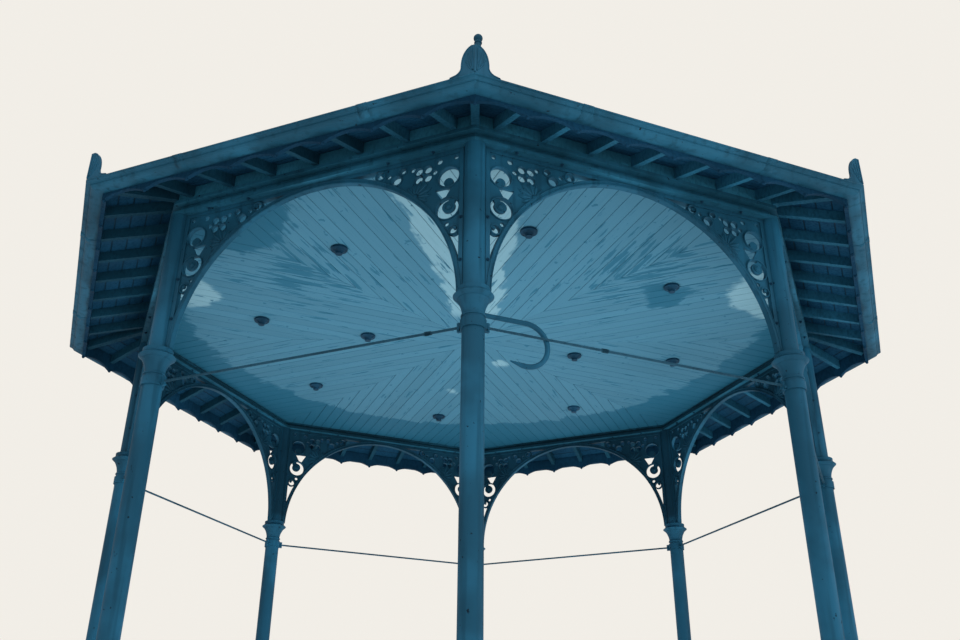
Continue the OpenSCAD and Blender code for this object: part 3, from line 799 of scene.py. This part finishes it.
def rough_face(bm, face):
    """Insets a face by the margin, divides what is left and pushes it out unevenly."""
    bmesh.ops.inset_individual(bm, faces=[face], thickness=MARGIN, use_even_offset=True)
    normal = face.normal.copy()
    bmesh.ops.subdivide_edges(bm, edges=face.edges[:], cuts=ROUGH_CUTS, use_grid_fill=True)
    bm.normal_update()
    shift = Vector([random.uniform(0, 90) for _ in range(3)])
    inner = [vert for vert in bm.verts if len(vert.link_edges) == 4
             and all(abs(face.normal.dot(normal)) > 0.999 for face in vert.link_faces)]
    for vert in inner:
        swell = 0.6 + 0.5 * noise.fractal(vert.co * 9 + shift, 1.0, 2.0, 4)
        vert.co += normal * ROUGH * max(0.1, min(1, swell))


def plinth_stone(left, right, low, high, out, tone):
    bm = bmesh.new()
    add_box(bm, (left, -out, low + JOINT / 2), (right, STONE_DEPTH - out, high - JOINT / 2), ARRIS)
    mitre(bm, 0)
    bm.normal_update()
    front = [face for face in bm.faces if face.normal.y < -0.999]
    rough_face(bm, max(front, key=lambda face: face.calc_area()))
    give_tone(bm, tone)
    return bm


course_h = plinth_top / COURSES
face_out = plinth_out - ROUGH
half_side = face_out * TAN_HALF
masonry = bmesh.new()
corner_tones = [[random.random() for _ in range(COURSES)] for _ in range(SIDES)]
for side in range(SIDES):
    for course in range(COURSES):
        left_leg, right_leg = QUOIN_LEGS[::1 if course % 2 else -1]
        start, stop = left_leg - half_side, half_side - right_leg
        stone_w = (stop - start) / STONES_BETWEEN
        joints = [start + stone_w * (number + random.uniform(-JOINT_SHIFT, JOINT_SHIFT))
                  for number in range(1, STONES_BETWEEN)]
        joints = [-half_side - SPARE, start, *joints, stop, half_side + SPARE]
        tones = [corner_tones[side - 1][course], *(random.random() for _ in range(STONES_BETWEEN)),
                 corner_tones[side][course]]
        for left, right, tone in zip(joints, joints[1:], tones):
            stone = plinth_stone(left + JOINT / 2, right - JOINT / 2, course * course_h,
                                 (course + 1) * course_h, face_out, tone)
            join_part(masonry, stone, side)
finish_piece(masonry, "plinth_stones", PLINTH_STONE, ["plinth"])

# %% [markdown]
# Behind the open joints lies the mortar, raked back by a finger's breadth. It is one octagonal
# block inside the stones, with a bed under the coping.


# %% Fill the joints with mortar
def add_octagon(bm, out, low, high):
    """An eight sided block, made by extruding its floor upwards."""
    corners = [side_turn(side) @ Vector((-out * TAN_HALF, -out, low)) for side in range(SIDES)]
    base = bm.faces.new([bm.verts.new(corner) for corner in corners])
    thicken(bm, [base], (0, 0, high - low))


RAKE = 0.012
BED_IN, BED_DOWN = 0.045, 0.006
mortar = bmesh.new()
add_octagon(mortar, face_out - RAKE, 0, plinth_top - 2 * HAIR)
add_octagon(mortar, coping_out - BED_IN, plinth_top, floor_z - BED_DOWN)
finish_piece(mortar, "mortar", MORTAR)

# %% [markdown]
# The coping is sawn stone. Three slabs to a side, mitred at the corners, with a rounded nose on
# the outer edge where people sit. The bevel of one edge with five segments makes the nose.

# %% Lay the coping
NOSE, NOSE_STEPS = 0.030, 5
SAWN_EDGE = 0.002
COPING_JOINT = 0.005
COPING_STONES = 3
random.seed(23)


def coping_slab(left, right):
    bm = bmesh.new()
    add_box(bm, (left, -coping_out, plinth_top), (right, -slab_out - COPING_JOINT, floor_z))
    nose = [edge for edge in bm.edges
            if all(vert.co.y < -coping_out + 1e-4 and vert.co.z > plinth_top + 0.01
                   for vert in edge.verts)]
    bevel(bm, nose, NOSE, NOSE_STEPS)
    bm.normal_update()
    bevel(bm, [edge for edge in bm.edges if edge.calc_face_angle(0) > 1], SAWN_EDGE)
    mitre(bm, COPING_JOINT / 2)
    give_tone(bm, random.random())
    return bm


coping = bmesh.new()
slab_w = slab_out * TAN_HALF * 2 / COPING_STONES
coping_half = coping_out * TAN_HALF + SPARE
joints = [slab_w * (number - COPING_STONES / 2) for number in range(1, COPING_STONES)]
joints = [-coping_half, *joints, coping_half]
for side in range(SIDES):
    for left, right in zip(joints, joints[1:]):
        join_part(coping, coping_slab(left + COPING_JOINT / 2, right - COPING_JOINT / 2), side)
finish_piece(coping, "coping_stones", COPING_STONE, ["coping"])

# %% [markdown]
# The floor is stone flags in running bond: rows of like slabs, each row half a slab on from the
# last. A slab that reaches over the edge is cut off by the planes of the eight sides.

# %% Lay the floor
FLAG_W, FLAG_D = 0.60, 0.45
FLAG_JOINT = 0.005
FLAG_T = 0.05
FLAG_ARRIS, FLAG_TILT, FLAG_IN = 0.003, 0.002, 0.002
random.seed(31)


def floor_flag(left, near):
    bm = bmesh.new()
    add_box(bm, (left, near, floor_z - FLAG_T),
            (left + FLAG_W - FLAG_JOINT, near + FLAG_D - FLAG_JOINT, floor_z), FLAG_ARRIS)
    tilt = Matrix.Rotation(random.uniform(-FLAG_TILT, FLAG_TILT), 3, "Y")
    bmesh.ops.rotate(bm, cent=(left + FLAG_W / 2, near, floor_z - 2 * HAIR), matrix=tilt,
                     verts=bm.verts)
    edge = slab_out - FLAG_IN
    for side in range(SIDES):
        outwards = side_turn(side) @ Vector((0, -1, 0))
        if bm.verts and max(vert.co.dot(outwards) for vert in bm.verts) > edge:
            cut_off(bm, outwards * edge, outwards)
    give_tone(bm, random.random())
    return bm


flags = bmesh.new()
rows = math.ceil(slab_out / FLAG_D)
for row in range(-rows, rows):
    for number in range(-rows, rows + 1):
        join_part(flags, floor_flag((number + (row % 2) / 2) * FLAG_W - FLAG_W / 2, row * FLAG_D))
finish_piece(flags, "floor_flags", FLOOR_STONE, ["floor_slab"])

# %% [markdown]
# The arches are cast filigree, and their relief is what catches the light: a bead round each
# ring, bosses, a fan of raised leaves, and two beads along the rib. A bead is a small circle
# spun round the ring's centre. The centres are worked out as the casting's are, from circles
# that touch the rib and the upright.

# %% Find the arch's circles
UPRIGHT_W, RIB_W, RIB_STEP, RAIL_H = 0.027, 0.032, 0.008, 0.026
RIB_T, RELIEF_T = 0.035, 0.026
RIM_W = 0.009
END_R, SCROLL_R, CORNER_R, FOIL_R, EYELET_R = 0.027, 0.071, 0.067, 0.026, 0.020
PALM_L, PALM_W, PALM_LEAVES, PALM_SPREAD = 0.128, 0.036, 7, math.radians(25)

upright_in = arch_high.x - UPRIGHT_W
rib_in = upright_in - RIB_STEP
rib_out = rib_in + RIB_W
arch_z = girder_low.z - rib_out
rail_y = arch_high.z - arch_z - RAIL_H


def beside_upright(radius):
    return Vector((upright_in - radius, math.sqrt((rib_out + radius) ** 2
                                                  - (upright_in - radius) ** 2)))


def under_rail(radius):
    return Vector((math.sqrt((rib_out + radius) ** 2 - (rail_y - radius) ** 2), rail_y - radius))


def toward(angle):
    return Vector((math.cos(angle), math.sin(angle)))


def over_rib(degrees, radius):
    return (rib_out + radius) * toward(math.radians(degrees))


scroll_at = beside_upright(SCROLL_R + RIM_W / 2)
corner_at = Vector((upright_in - CORNER_R - RIM_W / 2, rail_y - CORNER_R - 0.090))
rib_ring_at = over_rib(57.5, END_R + RIM_W)
eyelet_at = rib_ring_at + Vector((0.040, 0.056))
foil_at = corner_at + Vector((-0.166, 0.058))
palm_at = over_rib(46.5, -0.006)
RINGS = [(beside_upright(END_R + RIM_W), END_R), (scroll_at, SCROLL_R), (corner_at, CORNER_R),
         (eyelet_at, EYELET_R), (rib_ring_at, END_R + 0.004), (under_rail(END_R + RIM_W), END_R)]
print(f"arch of radius {rib_in:.3f} m, {len(RINGS)} rings in each corner")

# %% [markdown]
# A point of the casting is given along the bay and up from the arch's centre, and its level as
# a height over the middle of the plate. The relief is modelled in the right hand corner of the
# front, then mirrored to the left hand, and both to the back.


# %% Raise the relief on the arches
BEAD_R = 0.0042
RIB_BEAD_R, RIB_BEAD_IN, RIB_BEAD_UP, RIB_BEAD_STEPS = 0.0038, 0.005, 0.004, 72
FOIL_BEAD_R, FOIL_LEVEL, FOIL_AT = 0.0025, 0.0095, 1.62 * FOIL_R
BOSSES = ((foil_at, 0.013), (palm_at, 0.020), (scroll_at + Vector((0.006, 0.011)), 0.018))
BOSS_H, LEAF_RISE = 0.007, 0.006
PALM_UP = math.radians(90 - 43.5)
PALM_OUT, PALM_LONG, PALM_WIDE, PALM_LESS = 0.52, 0.40, 0.24, 0.09


def on_arch(at, level):
    return Vector((at[0], -column_line - level, arch_z + at[1]))


def arch_bead(bm, at, radius, bead, level, start=0.0, turn=math.tau, steps=18):
    """A bead that follows a circle in the arch's plane, from an angle, through a turn."""
    centre = on_arch(at, level)
    side = Vector((math.cos(start), 0, math.sin(start)))
    ring = bmesh.ops.create_circle(
        bm, segments=6, radius=bead,
        matrix=Matrix.Translation(centre + radius * side)
        @ side.cross(Vector((0, 1, 0))).to_track_quat("Z", "Y").to_matrix().to_4x4())["verts"]
    bmesh.ops.spin(bm, geom=ring + edges_at(ring), cent=centre, axis=(0, -1, 0), angle=turn,
                   steps=steps, use_merge=turn == math.tau)


def arch_dome(bm, at, long, wide, high, turn=0.0):
    """A low dome, longer one way than the other, such as a boss or a leaf."""
    place = (Matrix.Translation(on_arch(at, RELIEF_T / 2))
             @ Matrix.Rotation(-turn, 4, "Y") @ Matrix.Diagonal((long, high, wide, 1)))
    bmesh.ops.create_uvsphere(bm, u_segments=8, v_segments=6, radius=1, matrix=place)


relief = bmesh.new()
for at, radius in RINGS:
    arch_bead(relief, at, radius + RIM_W / 2, BEAD_R, RELIEF_T / 2,
              steps=30 if radius > EYELET_R * 2 else 18)
for quarter in range(4):
    at = foil_at + FOIL_AT * toward((quarter + 0.5) * math.pi / 2)
    arch_bead(relief, at, FOIL_R + FOIL_BEAD_R, FOIL_BEAD_R, FOIL_LEVEL)
for at, size in BOSSES:
    arch_dome(relief, at, size, size, BOSS_H)
for number in range(PALM_LEAVES):
    off = number - (PALM_LEAVES - 1) / 2
    angle = PALM_UP + off * PALM_SPREAD
    length = PALM_L * (1 - PALM_LESS * abs(off))
    arch_dome(relief, palm_at + PALM_OUT * length * toward(angle), PALM_LONG * length,
              PALM_W * PALM_WIDE, LEAF_RISE, angle)
add_mirrored(relief, ACROSS)
foot = math.asin((arch_low.z - arch_z + RIB_BEAD_UP) / rib_in)
for radius in (rib_in + RIB_BEAD_IN, rib_out - RIB_BEAD_IN):
    arch_bead(relief, (0, 0), radius, RIB_BEAD_R, RIB_T / 2, foot, math.pi - 2 * foot,
              RIB_BEAD_STEPS)
cap_ends(relief)
add_mirrored(relief, TO_THE_BACK, (0, -column_line, 0))
turn_round(relief)
finish_piece(relief, "arch_relief", ARCH_PAINT, smooth=True)

# %% [markdown]
# Castings are bolted together, and this stand is held by plain bolts: four through each
# column's foot, some through each upright into the shaft, and a row that joins the rail to the
# girder. A hexagon nut is a six sided cylinder with its top edges beveled.

# %% Fit the bolts
FOOT_T = 0.030
FOOT_BOLT_AT = 0.115
UPRIGHT_BOLTS = (0.22, 0.50)
GIRDER_BOLTS, GIRDER_BOLT_OUT = (0.50, 0.80), 0.040
NUT_R, NUT_H, NUT_CHAMFER = 0.017, 0.015, 0.002
WASHER_R, WASHER_H = 0.022, 0.003
BOLT_R, BOLT_OUT, BOLT_CHAMFER = 0.008, 0.012, 0.0015
SMALL = 0.5


def add_drum(bm, radius, height, place, sides, chamfer=0.0):
    """A cylinder that stands on a place, with its far rim beveled."""
    verts = bmesh.ops.create_cone(
        bm, cap_ends=True, segments=sides, radius1=radius, radius2=radius, depth=height,
        matrix=place @ Matrix.Translation((0, 0, height / 2)))["verts"]
    if chamfer:
        rim = [edge for edge in edges_at(verts)
               if all((place.inverted() @ vert.co).z > height - 1e-5 for vert in edge.verts)]
        bevel(bm, rim, chamfer, 2)


def add_nut(bm, place, size=1.0):
    lift = Matrix.Translation((0, 0, WASHER_H * size))
    top = Matrix.Translation((0, 0, (WASHER_H + NUT_H) * size))
    add_drum(bm, WASHER_R * size, WASHER_H * size, place, 16)
    add_drum(bm, NUT_R * size, NUT_H * size, place @ lift, 6, NUT_CHAMFER * size)
    add_drum(bm, BOLT_R * size, BOLT_OUT * size, place @ top, 10, BOLT_CHAMFER * size)


bolts = bmesh.new()
for up in UPRIGHT_BOLTS:
    at = on_arch((arch_high.x - UPRIGHT_W / 2, up), RIB_T / 2)
    add_nut(bolts, Matrix.Translation(at) @ Matrix.Rotation(math.pi / 2, 4, "X"), SMALL)
for along in GIRDER_BOLTS:
    at = (along, -column_line - GIRDER_BOLT_OUT, girder_low.z)
    add_nut(bolts, Matrix.Translation(at) @ Matrix.Rotation(math.pi, 4, "X"), SMALL)
for flip in (ACROSS, TO_THE_BACK):
    add_mirrored(bolts, flip, (0, -column_line, 0))
corner = Matrix.Rotation(HALF_TURN, 4, "Z") @ Matrix.Translation((0, -column_circle, floor_z))
for across in (-FOOT_BOLT_AT, FOOT_BOLT_AT):
    for deep in (-FOOT_BOLT_AT, FOOT_BOLT_AT):
        add_nut(bolts, corner @ Matrix.Translation((across, deep, FOOT_T)))
turn_round(bolts)
finish_piece(bolts, "bolts", FITTING_PAINT)

# %% [markdown]
# A leaf stands on each corner of the gutter. It is bent round the corner: half of it follows
# one gutter and half the next, so it looks upright from every side. One half is a grid of
# points whose reach along the gutter depends on their height, given thickness by an extrusion
# and cut at the corner line. A bead follows its outline, and ribs fan out from its foot. The
# other half is its mirror image.

# %% Stand the corner leaves
LEAF_H, LEAF_W, LEAF_T = 0.196, 0.084, 0.014
LEAF_FOOT_W, LEAF_FOOT_H, SWEEP_H = 0.150, 0.003, 0.052
LEAF_SETBACK = 0.004
LEAF_BEAD_R = 0.004
LEAF_RIBS = ((0.020, 0.175), (0.042, 0.145), (0.058, 0.105))
RIB_FOOT, RIB_BEND, RIB_STEPS = (0.012, 0.018), 0.7, 7
MIDRIB_LOW, MIDRIB_TOP = 0.004, 0.006
SWEEP_ROWS, LEAF_ROWS = 6, 14

leaf_out = gutter_high.y - LEAF_SETBACK
leaf_corner = leaf_out * TAN_HALF
leaf_z = gutter_high.z + 0.0003


def leaf_reach(up):
    """How far the leaf reaches along the gutter from the corner, at a height."""
    if up <= LEAF_FOOT_H:
        return LEAF_FOOT_W
    if up < LEAF_FOOT_H + SWEEP_H:
        share = 1 - (up - LEAF_FOOT_H) / SWEEP_H
        return LEAF_W + (LEAF_FOOT_W - LEAF_W) * (1 - math.sqrt(1 - share ** 2))
    share = (up - LEAF_FOOT_H - SWEEP_H) / (LEAF_H - LEAF_FOOT_H - SWEEP_H)
    return LEAF_W * math.sqrt(max(0, 1 - share ** 2.4))


def on_leaf(along, up):
    return Vector((leaf_corner - along, -leaf_out, leaf_z + up))


def half_leaf():
    bm = bmesh.new()
    heights = [0] + [LEAF_FOOT_H + SWEEP_H * row / SWEEP_ROWS for row in range(SWEEP_ROWS)]
    start = LEAF_FOOT_H + SWEEP_H
    heights += [start + (LEAF_H - start) * math.sin(row / LEAF_ROWS * math.pi / 2)
                for row in range(LEAF_ROWS + 1)]
    rows = [[bm.verts.new(on_leaf(along, up)) for along in (-0.01, max(0, leaf_reach(up)))]
            for up in heights]
    for low, high in zip(rows, rows[1:]):
        bm.faces.new((low[0], low[1], high[1], high[0]))
    thicken(bm, bm.faces[:], (0, LEAF_T, 0))
    bmesh.ops.recalc_face_normals(bm, faces=bm.faces)
    rim = [on_leaf(leaf_reach(up) - LEAF_BEAD_R, up) for up in heights[1:-2]]
    sweep_tube(bm, rim, LEAF_BEAD_R, 6)
    foot_along, foot_up = RIB_FOOT
    for along, up in LEAF_RIBS:
        shares = [step / RIB_STEPS for step in range(RIB_STEPS + 1)]
        bend = [on_leaf(foot_along + (along - foot_along) * share ** RIB_BEND,
                        foot_up + (up - foot_up) * share) for share in shares]
        sweep_tube(bm, bend, LEAF_BEAD_R * 1.1, 6)
    mitre(bm, 0)
    return bm


leaves = bmesh.new()
join_part(leaves, half_leaf())
add_mirrored(leaves, ACROSS)
sweep_tube(leaves, [on_leaf(0, up) for up in (MIDRIB_LOW, LEAF_H / 2, LEAF_H - MIDRIB_TOP)],
           LEAF_BEAD_R * 1.3, 8)
turn_round(leaves)
finish_piece(leaves, "corner_leaves", ARCH_PAINT, ["antefixes"])

# %% [markdown]
# The fascia is a board cut in scallops, and on the far side of the stand its points show under
# the gutter, against the light. The board starts as a grid with one row of faces, whose lower
# points follow arcs of a circle, and is extruded to its thickness. On each point is a small
# turned drop.

# %% Cut the fascia's scallops
POINT_DROP = 0.100
SCALLOP_RISE = 0.036
POINT_FLAT = 0.012
ARC_STEPS = 14
DROP_R, DROP_H = 0.012, 0.024

fascia_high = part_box("fascia")[1].z
point_z = gutter_high.z - POINT_DROP
arc_half = (rafter_gap - POINT_FLAT) / 2
arc_r = (arc_half ** 2 + SCALLOP_RISE ** 2) / (2 * SCALLOP_RISE)


def scallop_z(along):
    """The height of the fascia's lower edge."""
    off = (along / rafter_gap) % 1 * rafter_gap - rafter_gap / 2
    if abs(off) >= arc_half:
        return point_z
    return point_z + SCALLOP_RISE - arc_r + math.sqrt(arc_r ** 2 - off ** 2)


fascia = bmesh.new()
bmesh.ops.create_grid(fascia, x_segments=RAFTER_BAYS * ARC_STEPS, y_segments=1, size=0.5)
for vert in fascia.verts:
    along = vert.co.x * rafter_gap * RAFTER_BAYS
    vert.co = (along, -fascia_out, fascia_high if vert.co.y > 0 else scallop_z(along))
thicken(fascia, fascia.faces[:], (0, FASCIA_T, 0))
mitre(fascia, 0)
drop_out = fascia_out - FASCIA_T / 2
for number in range(RAFTER_BAYS):
    along = (number - RAFTER_BAYS / 2) * 2 * drop_out * TAN_HALF / RAFTER_BAYS
    place = Matrix.Translation((along, -drop_out, point_z))
    bmesh.ops.create_uvsphere(fascia, u_segments=10, v_segments=7, radius=1,
                              matrix=place @ Matrix.Diagonal((DROP_R, DROP_R, DROP_H / 2, 1)))
turn_round(fascia)
# The fascia takes the darker copy, as painted shade under the gutter.
finish_piece(fascia, "scalloped_fascia", SHADED_FASCIA_PAINT, ["fascia"])

# %% [markdown]
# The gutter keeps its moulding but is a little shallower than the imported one, so that the
# fascia's points show under it: a copy of its mesh is merged, and drawn up towards its lip. It
# is cast in lengths, and a strap covers each joint. The strap follows the moulding exactly, so
# it is made from the gutter itself: all but a short length is cut away, and what is left is
# pushed out along its normals.

# %% Hang the gutter and strap its joints
GUTTER_DEPTH = 0.052
STRAP_W = 0.060
STRAP_OUT = 0.0025
STRAP_AT = (-0.62, 0.62)
SIDE_SHARE = 0.93

gutter = bmesh.new()
gutter.from_mesh(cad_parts["gutter"].data)
bmesh.ops.remove_doubles(gutter, verts=gutter.verts, dist=1e-5)
bmesh.ops.scale(gutter, vec=(1, 1, GUTTER_DEPTH / (gutter_high.z - gutter_low.z)),
                space=Matrix.Translation((0, 0, -gutter_high.z)), verts=gutter.verts)
gutter_piece = finish_piece(gutter, "gutter_moulding", GUTTER_PAINT, ["gutter"])
straps = bmesh.new()
for middle in STRAP_AT:
    strap = bmesh.new()
    strap.from_mesh(gutter_piece.data)
    other_sides = [vert for vert in strap.verts if vert.co.y > -SIDE_SHARE * fascia_out]
    bmesh.ops.delete(strap, geom=other_sides, context="VERTS")
    cut_off(strap, (middle + STRAP_W / 2, 0, 0), (1, 0, 0))
    cut_off(strap, (middle - STRAP_W / 2, 0, 0), (-1, 0, 0))
    bmesh.ops.recalc_face_normals(strap, faces=strap.faces)
    strap.normal_update()
    for vert in strap.verts:
        vert.co += vert.normal * STRAP_OUT
    join_part(straps, strap)
turn_round(straps)
finish_piece(straps, "gutter_straps", GUTTER_PAINT)

# %% [markdown]
# The wire is rope: six strands laid round each other. One strand is a small circle, spun round
# the wire's axis while it moves along it, which is what the operator's dvec is for.

# %% Lay the wire rope
STRAND_R, LAY_R = 0.0028, 0.0052
LAY = 0.120
STRANDS, LAY_STEPS = 6, 9
WIRE_STOP = 0.066
wire_half = column_circle * math.sin(HALF_TURN) - WIRE_STOP


def strand(bm, start, radius, wire_r, length, lay, steps, sides=5):
    """A wire that winds round a line along X, from an angle, one turn in each lay."""
    place = Vector((-length / 2, -column_line + radius * math.cos(start),
                    wire_z + radius * math.sin(start)))
    ring = bmesh.ops.create_circle(bm, segments=sides, radius=wire_r,
                                   matrix=Matrix.Translation(place)
                                   @ Matrix.Rotation(math.pi / 2, 4, "Y"))["verts"]
    turns = length / lay
    count = round(turns * steps)
    bmesh.ops.spin(bm, geom=ring + edges_at(ring), cent=(-length / 2, -column_line, wire_z),
                   dvec=(length / count, 0, 0), axis=(1, 0, 0), angle=turns * math.tau,
                   steps=count)


rope = bmesh.new()
for number in range(STRANDS):
    strand(rope, number * math.tau / STRANDS, LAY_R, STRAND_R, 2 * wire_half, LAY, LAY_STEPS)
cap_ends(rope)
turn_round(rope)
finish_piece(rope, "wire_rope", WIRE_METAL, ["taut_wire"], smooth=True)

# %% [markdown]
# Two short bindings of thin wire are left on the rope, from banners that once hung there. Each
# is a close coil of a few turns.

# %% Wind the bindings
BIND_R, BIND_TURNS, BIND_STEPS = 0.0022, 9, 14
BIND_LAY = BIND_R * 2.1
BINDINGS = ((0, 0.786), (1, -0.254))

bindings = bmesh.new()
for side, along in BINDINGS:
    coil = bmesh.new()
    strand(coil, 0, LAY_R + STRAND_R + BIND_R, BIND_R, BIND_TURNS * BIND_LAY, BIND_LAY,
           BIND_STEPS, 6)
    cap_ends(coil)
    bmesh.ops.translate(coil, vec=(along, 0, 0), verts=coil.verts)
    join_part(bindings, coil, side)
finish_piece(bindings, "bindings", WIRE_METAL, smooth=True)

# %% [markdown]
# Where the boards meet the girders a plain bead covers their ends. It also throws the thin line
# of shadow that frames the ceiling. It takes the girders' paint, with its painted shade inside.

# %% Trim the ceiling
TRIM_R, TRIM_UP = 0.014, 0.002

trim = bmesh.new()
trim_out = ceiling_out - TRIM_R * 0.4
ends = [Vector((hand * trim_out * TAN_HALF, -trim_out, ceiling_low + TRIM_UP)) for hand in (-1, 1)]
sweep_tube(trim, ends, TRIM_R, 10)
turn_round(trim)
finish_piece(trim, "ceiling_trim", GIRDER_PAINT, smooth=True)

# %% [markdown]
# The light is a plain studio's: a world of even white, a wide soft lamp high above, one low in
# front, one from the right, and two that lie flat and point up, for the light that pale floors
# throw back. A narrow spread keeps a lamp's light on the stand. The background shows in the
# camera's own rays only.

# %% Light the stand
AMBIENT = 0.42
BACKDROP = (0.885, 0.855, 0.80)


def soft_lamp(name, place, target, size, watts, spread=math.pi):
    lamp = bpy.data.lights.new(name, "AREA")
    lamp.shape = "DISK"
    lamp.size = size
    lamp.energy = watts
    lamp.spread = spread
    lamp_object = add_object(name, lamp)
    turn = (Vector(target) - Vector(place)).to_track_quat("-Z", "Y")
    lamp_object.matrix_world = Matrix.Translation(place) @ turn.to_matrix().to_4x4()
    lamp_object.visible_camera = False
    lamp_object.visible_glossy = False


NARROW = math.radians(75)
soft_lamp("lamp_inside", (0, 0, floor_z + 0.05), (0, 0, 5), 3.6, 115)
soft_lamp("lamp_ground", (0, 0, 0.01), (0, 0, 5), 16.0, 130)
soft_lamp("lamp_front", (6.5, -10.5, 2.2), (0, -1, 4.6), 4.0, 55, NARROW)
soft_lamp("lamp_right", (9.5, 1.0, 2.4), (0, 0, 4.6), 4.0, 60, NARROW)
soft_lamp("lamp_sky", (2, -4, 16), (0, 0, 3), 22.0, 1300)

world = bpy.data.worlds.new("studio")
bpy.context.scene.world = world
world.use_nodes = True
nodes = world.node_tree.nodes
camera_ray = Socket(world.node_tree, nodes.new("ShaderNodeLightPath").outputs[0])
feed(nodes["Background"], {"Color": camera_ray.tint((AMBIENT, AMBIENT, AMBIENT), BACKDROP)})
bpy.context.scene.view_settings.view_transform = "Standard"

# %% [markdown]
# The floor is one large plain square. It glows a little, for the camera only and more the
# farther off, so that it looks as pale as the backdrop and still keeps the stand's shadow.

# %% Lay the studio floor
FLOOR_LIFT = 0.30
FAR_LIFT = 0.20

bm = bmesh.new()
bmesh.ops.create_grid(bm, x_segments=1, y_segments=1, size=60)
floor = add_object("studio_floor", as_mesh(bm, "studio_floor"))
floor_material, floor_shader, floor_place = start_material("studio_floor")
finish_material(floor_shader, (0.80, 0.80, 0.80), 0.9, sheen=0)
far_off = floor_place.far_from((0, 0, 0)).ramp(4, 30)
lift = floor_place.make("ShaderNodeLightPath") * (far_off * FAR_LIFT + FLOOR_LIFT)
feed(floor_shader, {"Emission Strength": 1,
                    "Emission Color": lift.tint((0, 0, 0), (1, 0.97, 0.92))})
floor.data.materials.append(floor_material)
